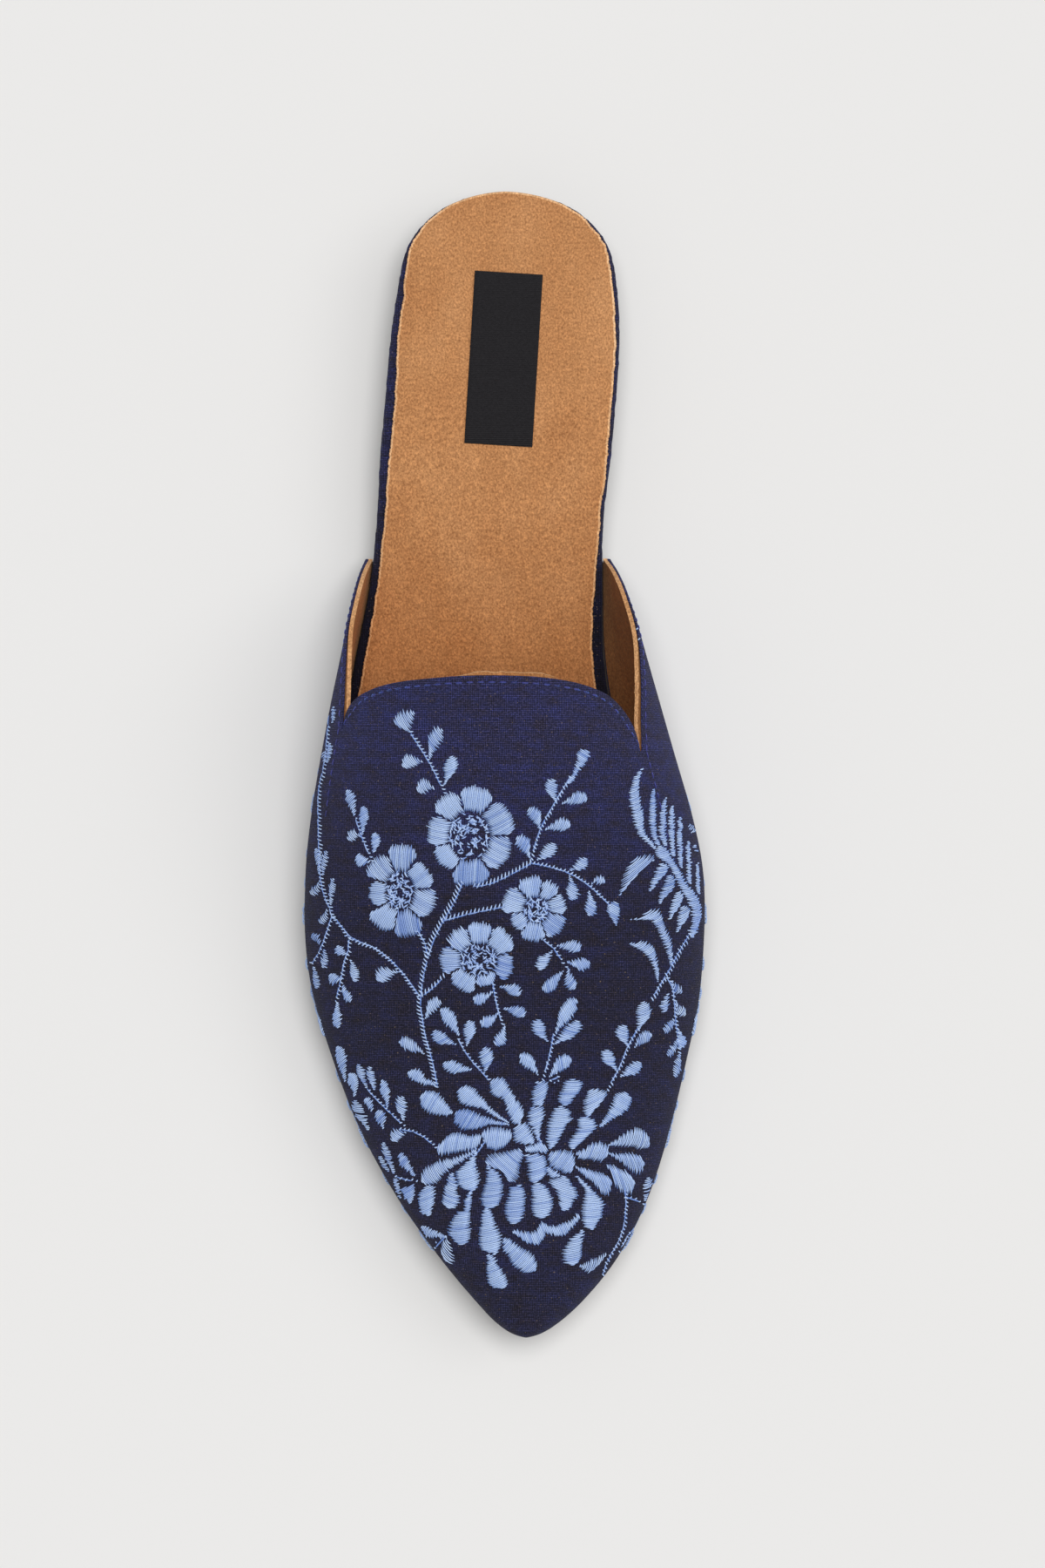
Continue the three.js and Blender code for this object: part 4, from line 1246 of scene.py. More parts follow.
# Leaves as drawn on the chart, each by its tip, base and width, in mm in plan.
LEAVES = [
    (-14.8, 9.1, -17.2, 1.2, 3.4), (-23.9, 0.8, -18.4, 0.6, 3.5), (-11.3, 2.2, -13.8, -4.9, 3.2),
    (-20.2, -4.6, -15.8, -5.6, 3.6), (-36, -5.5, -34.4, -12.6, 2.3), (-32.2, -9.4, -32.9, -17.1, 2.2),
    (-36.3, -16.3, -32.9, -16.7, 3), (-29.3, -15.6, -30.3, -21.1, 2.4), (-34.6, -22.2, -30.8, -22.5, 3),
    (10.5, -3, 12.4, -9.1, 3), (19.7, -7.1, 13.4, -9.1, 3), (6.5, -9.5, 8.5, -15.2, 3.2),
    (15.8, -13.2, 9.5, -15.2, 3.2), (3.6, -16.2, 6.3, -21.9, 3.4), (12.6, -18.6, 7.5, -22.3, 3.2),
    (19.9, -22.1, 15.4, -24.7, 2.84), (23.7, -26.3, 20.3, -27.8, 2.43), (16.6, -31.8, 15.4, -25.5, 2.84),
    (20.7, -35.5, 19.9, -29, 2.84), (25.3, -31.6, 26.5, -37.8, 3.1), (-29.9, -49.3, -24.3, -48, 3.7),
    (-15, -53.9, -18.2, -59.4, 3), (-24.3, -63.6, -18, -67.5, 3), (-39.2, 13.6, -39.8, 9, 1.3),
    (-42.2, 4.4, -41.3, -0.4, 2), (-39.9, 5.2, -41.1, -0.3, 1.6), (-44.2, -7.8, -43.1, -1, 1.6),
    (-43.3, -19.2, -42.6, -26, 1.7), (-41.2, -19.7, -42, -26.2, 1.5), (-44.3, -30.6, -42.4, -26.8, 2.1),
    (-39.6, -26.1, -40.1, -33.4, 1.7), (-42.2, -37.2, -40.8, -33.5, 2), (-44.2, -39.2, -42.2, -42.2, 1.8),
    (-41.6, -47.4, -41.6, -42.2, 1.8), (-43.1, -52.2, -44.2, -46.2, 1.7), (-45.8, -42.8, -44.4, -46.8, 1.4),
    (-39.3, -42.6, -35.9, -44.3, 2.4), (-34, -50.6, -35.7, -44.6, 2.2), (-40.8, -49.9, -37.3, -49.9, 2.8),
    (-35.7, -55.5, -37.5, -50.8, 2.1), (-38.8, -61.6, -38.5, -54.6, 2.2), (4.5, -52.9, -1, -51.5, 2.84),
    (-7.1, -55.5, -2.2, -52.7, 2.63), (5.5, -57.9, -0.2, -56.7, 2.84), (-5.3, -61, -1, -57.7, 2.84),
    (-1.2, -65.8, 0.4, -60.4, 2.84), (18.4, -42.3, 12.2, -42.1, 3), (7.7, -47.6, 11.8, -43, 2.84),
    (20.5, -46.8, 14.6, -45.8, 3), (9.3, -53.1, 14.2, -47.6, 3), (16, -52.7, 15, -47, 2.84),
    (-14.2, -56.1, -9.9, -63.8, 3.2), (-7.3, -59.2, -8.7, -65.8, 3), (-17, -62.4, -10.7, -65.2, 3),
    (-3.6, -65.4, -4.5, -72.1, 3.4), (-14.4, -69.9, -6.7, -71.1, 3), (16.8, -53.9, 11.8, -63.2, 3.6),
    (6.9, -59.2, 10.5, -64.6, 3.2), (18.4, -59.8, 11.3, -65.4, 3.2), (4.1, -66.9, 8.3, -72.5, 3.2),
    (15.6, -67.5, 10.5, -72.9, 3.4), (33.5, -54.8, 31.2, -62.2, 3.5), (26.9, -60.4, 29.2, -65.7, 3.2),
    (34.3, -61.9, 30.3, -66.1, 2.8), (23.1, -66.3, 26.7, -71.3, 3), (32.4, -69.5, 26.9, -72.7, 3),
    (41.1, -53.5, 39.1, -50.2, 2.4), (37, -57.6, 38.6, -52.5, 2.1), (41.8, -58.7, 40, -55, 2.7),
    (37.7, -62.6, 39.8, -58.4, 2.1), (42.1, -66.2, 40.6, -61.3, 2.4), (38.4, -68.2, 40.6, -63.4, 1.9),
    (40.1, -73, 41.1, -66, 1.9), (42.9, -9.2, 45.2, -12.2, 1.6), (43.2, -13.6, 46, -18.4, 1.5),
    (44.2, -18.6, 46.6, -23, 1.5), (39.4, 5.6, 40.2, 4.2, 1.2), (40.6, 1.4, 41.2, -0.6, 1.3),
    (41.5, -4.4, 43.2, -6.2, 1.5), (-34, -69.5, -31.6, -75.3, 2), (-35.2, -71.3, -34.4, -77.8, 2.5),
    (-31.3, -70, -29.6, -76.4, 2), (-28, -73, -26.7, -80.4, 2.2), (-31.7, -77.2, -30.3, -81.2, 2),
    (-28.9, -80.3, -27.9, -85, 2.7), (-24.2, -76.7, -22.9, -83.5, 2.7), (-26.5, -86.5, -22.3, -85.5, 3.2),
    (-38.2, -65, -36.6, -74.6, 2.4), (-35, -77.8, -30.9, -85.7, 2.4), (-28.2, -87.5, -24.9, -95.9, 1.8),
    (-29, -90.9, -26.2, -95.2, 1.3), (34.3, -95.6, 32.6, -102.2, 2), (18.9, -125.4, 14, -129, 1.6),
    (31.2, 31.8, 31.9, 28.4, 1), (38.4, 7.4, 39.3, 3.8, 1.3),
]
# Stems by their width and the points that they pass, x and y in turn.
STEMS = [
    (1.01, [-21.5, 7.7, -17.6, 1.6, -15.4, -2.4, -13.6, -6.5]),
    (0.81, [-34.2, -12.4, -32.4, -17.6, -30.4, -22.3]),
    (0.9, [15.6, -3.2, 12, -9.1, 8.7, -15.2, 6.7, -21.9]),
    (1.52, [-6.7, -28, -3.6, -27.6, 0.4, -25.9, 6.3, -22.7]),
    (0.81, [6.3, -22.7, 8.7, -23.1, 15, -24.9, 20.3, -28.2, 24.9, -32.6]),
    (1.42, [-17.8, -44.6, -18.6, -41.3, -20.1, -38.7]),
    (1.82, [-17.8, -44.6, -16.2, -39.9, -14.2, -36.1, -11.8, -32, -9.7, -27.1]),
    (1.32, [-14.2, -36.1, -7.7, -34.4, 0, -32.8]),
    (1.22, [-18.8, -53.5, -15.8, -51.1, -13.2, -48.2]),
    (0.81, [-2.2, -51.1, -1.4, -55.7, 0.2, -61.2]),
    (0.81, [9.5, -40.7, 12.2, -43, 14.6, -47]),
    (0.81, [-10.3, -63.8, -8.1, -67.7, -5.3, -70.9, -2.6, -73.9]),
    (0.81, [11.8, -62.8, 10.9, -67.7, 9.3, -73.3]),
    (0.91, [28.3, -98.1, 28.7, -101.5, 28.2, -107.1, 26.7, -111.4, 24.3, -115.5, 22.4, -120.6, 18.9, -124.8, 14.9,
     -127.9]),
    (0.61, [28.5, -100.4, 30.7, -100.9, 32.7, -102.2]),
    (0.61, [32.6, -102.2, 32.4, -105.4, 29.3, -109.1, 27, -113.3]),
    (0.71, [-23.9, -84.7, -20.5, -85.3, -17.6, -87, -14.9, -89.7]),
    (0.81, [-6.5, -93, -6.9, -96.4, -7.5, -99.8]),
    (0.61, [8.3, -86.3, 8.9, -88.2, 9.6, -89.8]),
    (0.71, [-6.3, -90.4, -5.2, -88.9, -4.4, -87.6]),
    (0.41, [11, -73.4, 11.4, -72.2, 12.6, -72, 13.1, -73.2, 12, -74, 11, -73.4]),
    (1.1, [-38.3, 21.9, -39, 18.5, -39.8, 15, -40.4, 10, -40.7, 6, -41.3, 0.5, -41.9, -2.5, -42.6, -5.5, -42.8, -10,
     -42.7, -15, -42.6, -19.5, -42.4, -25, -41.9, -28.5, -41.2, -31, -40.1, -33.5, -39.5, -35.6]),
    (0.8, [-39.7, -35.4, -40.7, -38.5, -41.9, -42, -43.1, -44.5, -44.2, -46.3]),
    (1, [-19.7, -53.8, -20.9, -52.1, -22.6, -49.7, -24.6, -47.3, -27.3, -44.7, -30.3, -42.6, -33.4, -41.4, -36.1,
     -39.9, -37.6, -37.9, -39.5, -35.4]),
    (1, [-35.6, -40.4, -36, -44, -36.9, -46.3, -37.4, -49.4, -38.1, -52.4, -38.7, -55.1]),
    (1.4, [-15.6, -74.8, -16.4, -70.5, -17.5, -66.2, -18.5, -62.9, -18.9, -59.9, -19.5, -56.5, -19.4, -53.6, -19, -50,
     -18.2, -46.4, -17.6, -43.8]),
    (0.6, [-31.8, -75, -29.3, -77.8, -26.7, -80.4, -23, -83.9]),
    (0.9, [38.3, -49.6, 39.5, -51.6, 39.9, -54.8, 40.2, -59.6, 40.7, -62.8, 41, -67]),
    (1.2, [43.4, -39.6, 41, -43.7, 39.2, -47.1, 37.6, -49.8, 36.4, -51.8, 34.7, -54.6]),
    (0.9, [31.4, -61.4, 30.1, -63.8, 28.9, -66, 28, -68.6, 26.6, -71.6, 25.2, -74, 24.5, -75.8]),
    (0.6, [-24.9, -95.7, -22.6, -96.5, -20, -96.8]),
    (0.6, [-13.2, -109.6, -15.4, -110.9, -15.7, -112.4]),
]
# Petals and blades by the angle of their threads in degrees and their outlines, x and y in turn.
PETALS = [
    (65, [-22.3, -71.9, -21.5, -70.8, -19.7, -70.7, -18.5, -71.7, -18, -72.9, -16.4, -73.5, -15.6, -74.3, -16.8,
     -74.7, -18.8, -74.5, -20.9, -73.7, -22, -72.8]),
    (62, [-19.4, -78, -18.9, -76.6, -17.5, -75.7, -15.5, -75.9, -14.4, -76.8, -13.4, -78.2, -12.1, -80, -11.7, -80.9,
     -13, -81.8, -15, -81.6, -17.3, -81.3, -18.7, -80.2, -19.3, -79.1]),
    (60, [-11.5, -82.5, -11, -80.7, -9.4, -80, -7.1, -80.2, -5.8, -81.1, -3.3, -82, -1.3, -82.7, 1, -83.4, 2.3, -83.8,
     -0.4, -83.9, -3.1, -83.9, -5.3, -84.5, -7.1, -85.1, -9.4, -85.1, -10.7, -84.3, -11.5, -83.4]),
    (45, [-10.8, -76.8, -10.3, -75.5, -8.8, -74.5, -6.9, -75, -5.6, -76.4, -4.2, -78, -3.1, -79.3, -1.3, -81.1, 0.7,
     -82.6, 2.1, -83.6, 0.3, -83, -1.7, -82, -3.5, -81.1, -5.1, -80.2, -6.7, -79.7, -8.5, -79.4, -10.1, -78.9]),
    (45, [-3.2, -74.6, -2.5, -73.2, -1.1, -72.6, 0.3, -72.9, 1.2, -74.4, 2.1, -76.2, 3, -77.5, 2.1, -78.6, 0.7, -79.1,
     0.1, -78.2, -1.3, -77.5, -2.9, -76.8, -3.3, -75.7]),
    (55, [0.7, -79.3, 1.6, -78.5, 3, -77.8, 4.1, -78.6, 4.7, -80.2, 4.6, -82, 3.7, -83.6, 2.1, -83.4, 1, -81.6, 0.6,
     -80.2]),
    (80, [-15.3, -90.1, -15, -88.3, -13.4, -86.7, -12.1, -85.6, -10.3, -85.5, -8, -86.1, -5.4, -85.8, -5.2, -87, -5.8,
     -88.8, -7.1, -89.7, -9.4, -90.1, -12.1, -90.6, -14.3, -90.9, -15.2, -90.5]),
    (84, [-5, -86.1, -4.2, -84.9, -2.6, -84.2, -0.4, -84.3, 1.6, -84.9, 2, -86.1, 1.6, -87.6, 0.3, -89, -1.5, -89.9,
     -3.3, -89.4, -4.2, -88.3]),
    (35, [2.2, -86, 2.4, -84.6, 3.7, -83.8, 5, -83.1, 6, -83.7, 6.7, -85, 7.4, -86.5, 6.9, -88.1, 5.1, -88.3, 4.1,
     -88.3, 2.5, -87.6]),
    (120, [-6.2, -89.2, -8.5, -90.2, -11.2, -91.2, -13.4, -91.6, -15, -92.1, -16.6, -92.8, -18.4, -93.9, -19.1, -95.7,
     -18.8, -97.2, -17.8, -97.8, -15.9, -97.7, -15, -96.9, -13.9, -95.5, -12.5, -94.4, -11, -93.3, -9.6, -92.6, -8.3,
     -91.7, -6.4, -90.4]),
    (20, [-16.1, -97.9, -15.8, -99.6, -16, -102, -16.8, -104.5, -17.9, -104.9, -19.3, -104.1, -19.8, -102.3, -20,
     -100.2, -19.3, -99.1, -18.1, -98.1]),
    (15, [-7.7, -91.2, -6.3, -90.2, -6.2, -91.5, -6.2, -93, -5.7, -94.5, -5.4, -96, -5.5, -97.4, -6.2, -98.7, -7.6,
     -99.1, -9.4, -98.7, -10.7, -97.8, -11, -96.2, -11.2, -94.8, -9.8, -93.5, -8.6, -92.3]),
    (-20, [-12.8, -95.3, -11.4, -95, -10.9, -96.2, -10.6, -97.6, -10.6, -99.1, -10.1, -100.2, -10.2, -102, -11.6,
     -103.3, -13, -102.9, -14.3, -101.8, -14.1, -100.2, -14, -98.7, -13.2, -97]),
    (4, [-8.9, -100.7, -7.5, -99.2, -7.1, -100.5, -7.4, -103.2, -7.5, -105.9, -7.4, -108.6, -7.8, -110.4, -8.5,
     -111.3, -9.6, -111.6, -11, -111.3, -12.1, -110.1, -13, -109, -12.9, -107.4, -12.1, -105.9, -11, -104.3, -9.4,
     -103.4, -9.2, -101.8]),
    (-42, [-3.3, -90.6, -1.3, -90.2, 0.5, -89.8, 2.5, -89.4, 3.9, -89.4, 4.8, -90.6, 4.7, -91.9, 4.1, -93.3, 3.9,
     -95.7, 3, -97.2, 1.9, -97.1, 0.7, -96.2, -0.2, -94.6, -1.3, -94.2, -2.6, -93.5, -3.8, -92.8, -4.2, -91.7]),
    (6, [-3.8, -93.1, -2.4, -93.8, -1.1, -94.8, -0.4, -95.8, 0.1, -97.5, 0.1, -99.6, -0.4, -101.4, -1.5, -102.7, -3.1,
     -103.1, -4.7, -102.9, -5.1, -101.8, -5.4, -100.7, -4.9, -99.1, -4.2, -96.9]),
    (10, [-4.7, -103.4, -2.9, -103.3, -2.4, -104.5, -1.7, -106.3, -0.9, -108.1, -0.2, -109.9, -0.4, -111.7, -1.3,
     -113.5, -2, -114, -3.3, -113.5, -4.9, -113, -5.7, -111.7, -5.9, -109.9, -5.7, -107.9, -5.2, -105.9]),
    (20, [-3.8, -114, -2.2, -114.2, -1.3, -115.8, -0.4, -117.1, 0.7, -118.7, 1.2, -120.3, 0.7, -121.4, -0.6, -121.8,
     -2.4, -121.6, -3.5, -120.9, -4, -118.9, -3.9, -116.2]),
    (45, [0.1, -110.2, 1.4, -110.1, 3, -111.3, 4.8, -112.4, 6.7, -113.5, 7.5, -114.6, 7.9, -116.2, 7.4, -117.8, 5.8,
     -118.3, 4.3, -118.1, 2.5, -116.9, 1.4, -115.5, 1, -114.2, -0.2, -113, -0.2, -111.5]),
    (5, [1.4, -98.4, 2.5, -98, 3.9, -97.6, 4.6, -98.2, 5.2, -99.3, 5.4, -101.4, 5.2, -103.6, 4.8, -105.2, 3.9, -106.3,
     2.1, -106.8, 1, -106.3, 0.4, -104.7, 0.3, -102.9, 0.7, -101.1, 1.2, -99.6]),
    (70, [-18.9, -107.3, -16.8, -107.7, -15.2, -108.6, -13.4, -109.5, -13.1, -110.1, -15, -110.1, -16.6, -110.3,
     -17.9, -109.9, -18.7, -108.6]),
    (-50, [-13.9, -110.4, -12.9, -110.4, -12, -111.7, -11.6, -113.3, -11.2, -114.9, -11.4, -115.8, -12.3, -116, -13.4,
     -115.1, -14.2, -113.7, -14.7, -112.4]),
    (0, [-15.7, -112.6, -15.2, -113.4, -14.5, -114.6, -14.1, -115.6, -14.7, -115.7, -15.5, -114.9, -15.9, -113.7]),
    (50, [-24.4, -91, -23.3, -90.3, -22.2, -91.4, -21.3, -93.2, -20.7, -95, -20.4, -96.1, -21.8, -95, -23.1, -94.1,
     -24.2, -92.8]),
    (30, [-23.6, -98.7, -22.2, -98, -20.7, -97.6, -20.5, -99.1, -20.7, -100.5, -21.5, -102, -22.6, -101.5, -23.5,
     -100]),
    (0, [-25.5, -96.3, -24.6, -96.4, -24, -98, -23.6, -100, -24.1, -100.8, -25, -99.3, -25.4, -97.8]),
    (25, [7.7, -73.7, 9.9, -73.7, 10.5, -74.4, 10.4, -76.2, 9.9, -77.5, 9.1, -79.2, 6.9, -79.2, 6.6, -77.7, 6.6,
     -75.7, 7.4, -74.6]),
    (20, [5.8, -80.7, 6.9, -79.5, 9.2, -79.5, 9.7, -80.4, 9.6, -82, 9, -83.8, 8.6, -86.1, 8.2, -87.4, 7.4, -86.5, 6.7,
     -84.7, 5.8, -83.4, 5.6, -82]),
    (2, [14.1, -73.7, 16.6, -73, 18.2, -73.6, 18.6, -74.4, 17.7, -76.4, 16.4, -77.7, 15.3, -79.1, 13.5, -79.1, 12.7,
     -78.2, 12.8, -76.6, 13.8, -74.8]),
    (5, [11.7, -80, 13.5, -79.3, 15, -80, 15.9, -80.4, 15.7, -81.6, 16.2, -82.6, 14.8, -83.8, 14.1, -85.6, 13.2, -87,
     12.1, -88.8, 11.2, -89.3, 10.4, -89, 10.1, -87.4, 10, -85.6, 10.3, -83.4, 11.2, -81.3]),
    (25, [20, -75.7, 22, -75.4, 24.4, -76.2, 23.6, -77.7, 22.5, -79.1, 21.1, -80.4, 20.2, -81.6, 18.9, -81.6, 18.4,
     -80.4, 18.5, -78.9, 18.9, -77.5]),
    (6, [17.3, -82.2, 18.9, -81.9, 20.7, -82.2, 22, -83.8, 20.9, -85.4, 19.3, -87, 18, -88.1, 16.6, -89.3, 15.5,
     -89.2, 14.9, -88.3, 15.9, -86.5, 17.1, -84.7, 17.2, -83.6]),
    (-30, [26.1, -76.4, 28.3, -76.1, 29.7, -77.3, 30, -78.6, 29.4, -80, 27.6, -81.3, 25.8, -82.5, 24, -83.6, 22.5,
     -84.3, 23.1, -82.5, 24.3, -80.7, 25.2, -78.6, 25.6, -77.3]),
    (75, [24.4, -88.5, 26.1, -87.2, 27.9, -85.8, 29.7, -84.7, 31.5, -84.4, 33, -85.2, 33.9, -86.5, 34, -87.6, 33.5,
     -89.2, 31.5, -89.4, 29.2, -89, 27, -88.8]),
    (105, [24.5, -90.3, 26.1, -90.3, 28.3, -90.2, 30.6, -90.3, 31.9, -91.2, 32.8, -92.8, 32.5, -94.2, 31.8, -95.3,
     30.3, -95.1, 28.8, -93.9, 27, -92.4, 25.4, -91.2]),
    (70, [17.1, -90.1, 18.9, -89.2, 20.7, -87.9, 22.2, -87.6, 24.3, -88.3, 24.5, -89.7, 24, -91.2, 22.9, -92.4, 21.6,
     -92.3, 19.8, -91.9, 18, -91.9, 17, -91.2]),
    (55, [10.5, -90.8, 11.9, -89.8, 13.9, -89.5, 15.9, -89.9, 16.7, -91, 16.7, -92.8, 15.9, -94.6, 14.4, -95.1, 12.6,
     -94.4, 11.2, -93.9, 10.5, -92.6]),
    (15, [5.1, -90.9, 6.7, -90.5, 8.5, -90.5, 9.9, -91.1, 10.3, -92.8, 10.2, -95.1, 9, -96.4, 7.8, -97.1, 6.3, -97.1,
     5.6, -95.7, 5.5, -93.3]),
    (8, [6.5, -97.8, 8.5, -97.3, 10.1, -98, 11, -99.3, 11.7, -101.1, 11.7, -102.9, 10.8, -104.7, 9.4, -105.4, 7.8,
     -105.3, 6.7, -104.7, 6.4, -102.9, 6.5, -100.5]),
    (-15, [10.5, -96.9, 12.1, -96, 14.1, -95.6, 15.5, -96.4, 16.4, -98, 17.4, -99.1, 17.4, -100.7, 16.4, -102, 15.5,
     -103.6, 13.9, -103.7, 12.9, -102.5, 12.8, -100.9, 12.3, -99.3, 11.2, -98]),
    (30, [10.3, -93.5, 12.5, -94.5, 13.5, -95.4, 11.5, -96.2, 10.3, -95.6]),
    (108, [16.7, -93.3, 18, -93.7, 20.2, -94.1, 22, -94.4, 23.6, -95.1, 24.7, -96, 25.3, -97.5, 24.9, -99.3, 24.3,
     -100.2, 23.1, -100, 22, -98.7, 20.7, -97.1, 19.3, -96.2, 18, -94.8]),
    (108, [24, -93, 25.4, -93, 27.2, -93.9, 28.8, -94.6, 29.9, -96, 30.6, -97.3, 30.3, -99.1, 29.7, -100, 28.3,
     -100.2, 27, -99.1, 25.8, -97.8, 25.4, -96.2, 24.7, -94.6]),
    (5, [16.7, -95.3, 18.9, -96.9, 20.2, -98, 21.6, -99.6, 23.1, -100.9, 23.5, -102.7, 23.1, -105, 22, -106.8, 21.1,
     -108.1, 19.8, -107.9, 18.6, -107.2, 18.2, -105.2, 18.1, -103.4, 18.5, -101.6, 18.9, -99.3, 18.4, -98, 17.3,
     -96.4]),
    (10, [18, -108.4, 18.9, -108.1, 18.6, -110.1, 18.5, -112.4, 18.4, -114.4, 17.5, -115.8, 16.2, -116.4, 14.4, -116,
     13.7, -114.9, 13.8, -112.9, 14.6, -111.7, 15.7, -110.1, 17.1, -109]),
    (110, [2.1, -108.6, 3.2, -108.1, 4.8, -108.6, 5.8, -108.5, 7.7, -108.2, 8.2, -106.9, 9, -106.1, 10.3, -107, 12.1,
     -107, 13.9, -106.5, 15.3, -106.1, 16.4, -105.2, 17.5, -104.5, 17.7, -105.9, 16.8, -107.2, 15.5, -108.6, 14.1,
     -109.6, 12.6, -109.8, 11, -109.4, 9.9, -109.3, 9.4, -110.6, 8.5, -111.8, 6.9, -111.7, 5.6, -111.4, 4.6, -110.8,
     3.2, -109.7]),
    (70, [17.7, -116.5, 18.9, -115.8, 20.4, -115.1, 22.2, -114.2, 24, -113.5, 23.1, -115.1, 22, -116.4, 20.9, -117.6,
     20, -118.2, 18.9, -117.9, 18, -117.1]),
    (120, [6.9, -88.3, 8.6, -87.5, 10.2, -89.2, 10.2, -90.5, 8.6, -90.3, 6.6, -90.3, 5.2, -89.9, 5.2, -88.6]),
    (20, [32.5, -0.8, 31.2, -1.8, 30, -3.8, 29.3, -6.5, 29.4, -9, 29.9, -11.5, 30.3, -13.5, 31, -15.6, 32.4, -17.3,
     34.2, -18.9, 35.3, -19.6, 35.5, -18.5, 34.2, -17.2, 33.1, -15.5, 32.8, -13, 32.4, -10, 31.9, -7, 31.8, -4.5,
     32.1, -2.6]),
    (15, [35, -5.2, 35.5, -7.5, 35.7, -10.5, 35.7, -14, 36, -16.5, 36.4, -18.6, 35.4, -18.2, 34.3, -16.2, 33.9, -13.5,
     33.8, -10.5, 34.2, -7.5]),
    (15, [37.8, -7.6, 38.1, -9.5, 38, -12.5, 38, -15.5, 38.2, -18.5, 37.2, -18.6, 36.3, -16.3, 36.3, -13, 36.6, -10.5,
     37.2, -8.6]),
    (15, [39.5, -9.2, 39.9, -11.5, 39.9, -15, 40, -18, 40, -21, 39.1, -20.8, 38.7, -18, 38.4, -14.5, 38.6, -11.5,
     39.1, -9.8]),
    (10, [41.2, -11.8, 41.7, -14, 41.8, -17.5, 41.8, -21, 41.6, -24, 40.8, -23, 40.5, -19.5, 40.4, -16, 40.8, -12.8]),
    (10, [43.1, -17.4, 43.6, -19.5, 43.8, -23, 43.8, -27.5, 42.8, -26.8, 42.6, -23, 42.4, -20]),
    (10, [45.1, -22.4, 45.6, -24.5, 45.8, -27.5, 45.7, -30, 44.8, -29.3, 44.7, -26, 44.8, -23.8]),
    (15, [35.3, -19.9, 36.5, -18.8, 38.2, -19.5, 39.3, -21.3, 41, -24, 42.5, -26.8, 44, -28.9, 45.5, -31, 46.3, -34,
     45.8, -36.5, 43.8, -37, 43.5, -33.5, 42.4, -31, 41.3, -29, 40.3, -27, 39.4, -25.4, 38.3, -23.4, 36.8, -22.2,
     35.5, -21.4]),
    (12, [34, -29.8, 34.2, -27.4, 35.3, -25.1, 36.1, -23.4, 37.4, -22.8, 38.5, -23.4, 38.3, -24.8, 37, -26.4, 35.9,
     -27.6, 34.8, -28.9]),
    (18, [36.2, -32.4, 36.4, -29.9, 37.3, -27.9, 37.9, -26.2, 39, -25.6, 40.1, -26.6, 39.9, -28.5, 38.7, -29.9, 37.3,
     -31.3]),
    (25, [38.4, -35.8, 38.7, -33.4, 39.6, -30.8, 40.7, -29.5, 41.9, -29.9, 41.8, -31.6, 40.9, -33.2, 39.9, -34.5,
     38.9, -35.8]),
    (30, [40.3, -38.8, 40.4, -36.1, 40.9, -34, 42, -32.7, 43.1, -33, 43.5, -33.9, 43, -35.6, 41.7, -37.2, 40.9,
     -38.5]),
    (0, [44, -36.8, 45.7, -36.7, 45.6, -38, 44.9, -39.5, 43.5, -40.2, 43.1, -38.6]),
    (30, [29.3, -36, 31.4, -35.5, 33.2, -34.1, 35.2, -33.4, 36.6, -33.8, 37.2, -36, 38.2, -38.2, 39.2, -41, 39.4,
     -44.5, 39, -47.2, 38.4, -44.8, 37.6, -42.6, 36.6, -40.4, 35.5, -38, 34.2, -36.3, 32, -36.1]),
    (30, [29.2, -41.6, 31, -41.2, 33.3, -41, 35.4, -42.9, 36.1, -45.8, 36.2, -49.5, 35.8, -50.5, 35.2, -48.2, 33.9,
     -45.3, 31.7, -43.2, 30.3, -42.4]),
    (120, [-25.4, 10.5, -24.3, 12.3, -21.6, 12.8, -20.5, 11.9, -21, 9.4, -21.6, 7.4, -22.9, 8, -24.3, 8.7]),
    (150, [17.3, 3.1, 18.7, 3.6, 20.1, 2.9, 20, 1.4, 18.2, -1, 15.9, -4.2, 15, -4.1, 16.1, -1.6, 16.9, 0.9]),
    (40, [26.9, -30.5, 27.4, -27.4, 28.3, -24.7, 29.6, -22.6, 31.5, -21.2, 33.7, -20.7, 35.4, -21, 35, -22.2, 33.7,
     -22.9, 32, -24.5, 30.3, -26.4, 28.6, -28.6]),
]
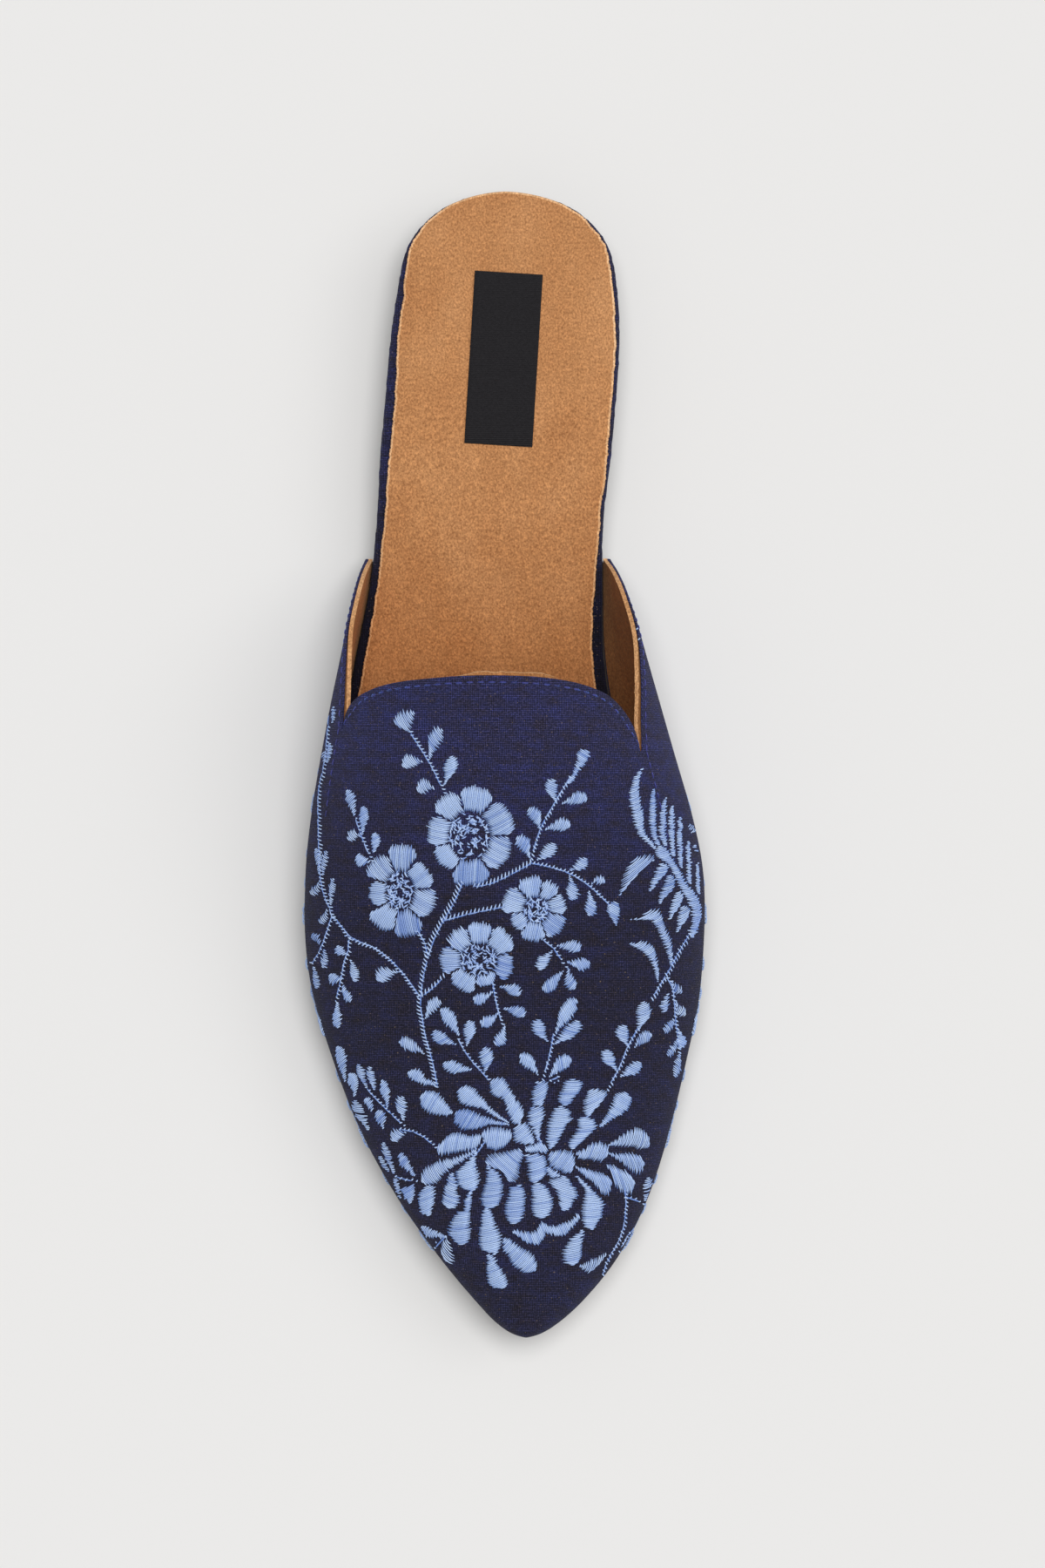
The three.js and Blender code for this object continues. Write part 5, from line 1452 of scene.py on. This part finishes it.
# Blossoms by centre, half axes of the disc and the tips of the petals.
BLOSSOMS = [
    ((-7.9, -16.6), (4.7, 5.7), [(-6.7, -5.1), (1.8, -11.5), (1.4, -21.1), (-8.5, -28.2), (-14.6, -23.1),
     (-17.6, -14.8), (-13.8, -7.1)]),
    ((-24.1, -29.4), (3.2, 4.5), [(-23.7, -18.6), (-17.4, -24.3), (-16.2, -33.4), (-22.1, -40.1), (-28.4, -38.3),
     (-31.2, -30.2), (-29.8, -21.7)]),
    ((7.7, -33.8), (2.84, 2.84), [(6.7, -25.9), (11.5, -27.4), (14.6, -31.8), (13.8, -38.3), (6.3, -41.1), (2, -37.3),
     (-0.2, -31.4)]),
    ((-5.7, -45.4), (4.2, 3.6), [(-5.3, -36.5), (1, -38.9), (2.2, -47.6), (-3.2, -51.3), (-10.5, -52.1), (-14.8, -45),
     (-11.8, -38.9)]),
]
# Sprigs along the upper's low walls, below what the chart shows, by the y and height of their feet.
SPRIG_FEET = [(40, 14), (14, 14), (-12, 12), (-38, 12), (-64, 10), (-88, 10)]
SPRIG_ANGLE = 172  # degrees, in the plane of y and height
SPRIG_LENGTH = 21
SPRIG_STEM = 0.8
SPRIG_LEAF = 2.5  # width

blossoms = Hoop(21)
for slant, outline in PETALS:
    sew_petal(blossoms, slant, np.reshape(outline, (-1, 2)), seen_from_above)
for centre, disc, tips in BLOSSOMS:
    sew_blossom(blossoms, centre, disc, tips, seen_from_above)
leaves = Hoop(22)
for tip_x, tip_y, base_x, base_y, width in LEAVES:
    sew_leaf(leaves, (tip_x, tip_y), (base_x, base_y), width, seen_from_above)
stems = Hoop(23)
for width, points in STEMS:
    sew_stem(stems, width, np.reshape(points, (-1, 2)), seen_from_above)
way = np.array([math.cos(math.radians(SPRIG_ANGLE)), math.sin(math.radians(SPRIG_ANGLE))])
for side, *foot in [(side, *foot) for side in (-1, 1) for foot in SPRIG_FEET]:
    look = seen_from_side(side)
    foot = np.array(foot, float)
    bend = square_to(way) * SPRIG_LENGTH * 0.1
    spine = smooth_curve([foot, foot + way * SPRIG_LENGTH / 2 + bend, foot + way * SPRIG_LENGTH], 40)
    sew_stem(stems, SPRIG_STEM, spine[::8], look)
    for k, place in enumerate(spine[6::6]):
        lean = (-1) ** k * (0.75 - 0.05 * k)
        aim = way * math.cos(lean) + square_to(way) * math.sin(lean)
        sew_leaf(leaves, place + aim * (5.6 - 0.4 * k), place + aim * 0.4, SPRIG_LEAF, look)
    sew_leaf(leaves, spine[-1] + way * 4.6, spine[-1], SPRIG_LEAF, look)

blue_thread = thread("embroidery_thread", swatch(78, 120, 206), swatch(197, 220, 255), 0.34)
for hoop, kind in ((blossoms, "petals"), (leaves, "leaves"), (stems, "stems")):
    dress(hoop.finish("embroidery_" + kind), blue_thread, None)
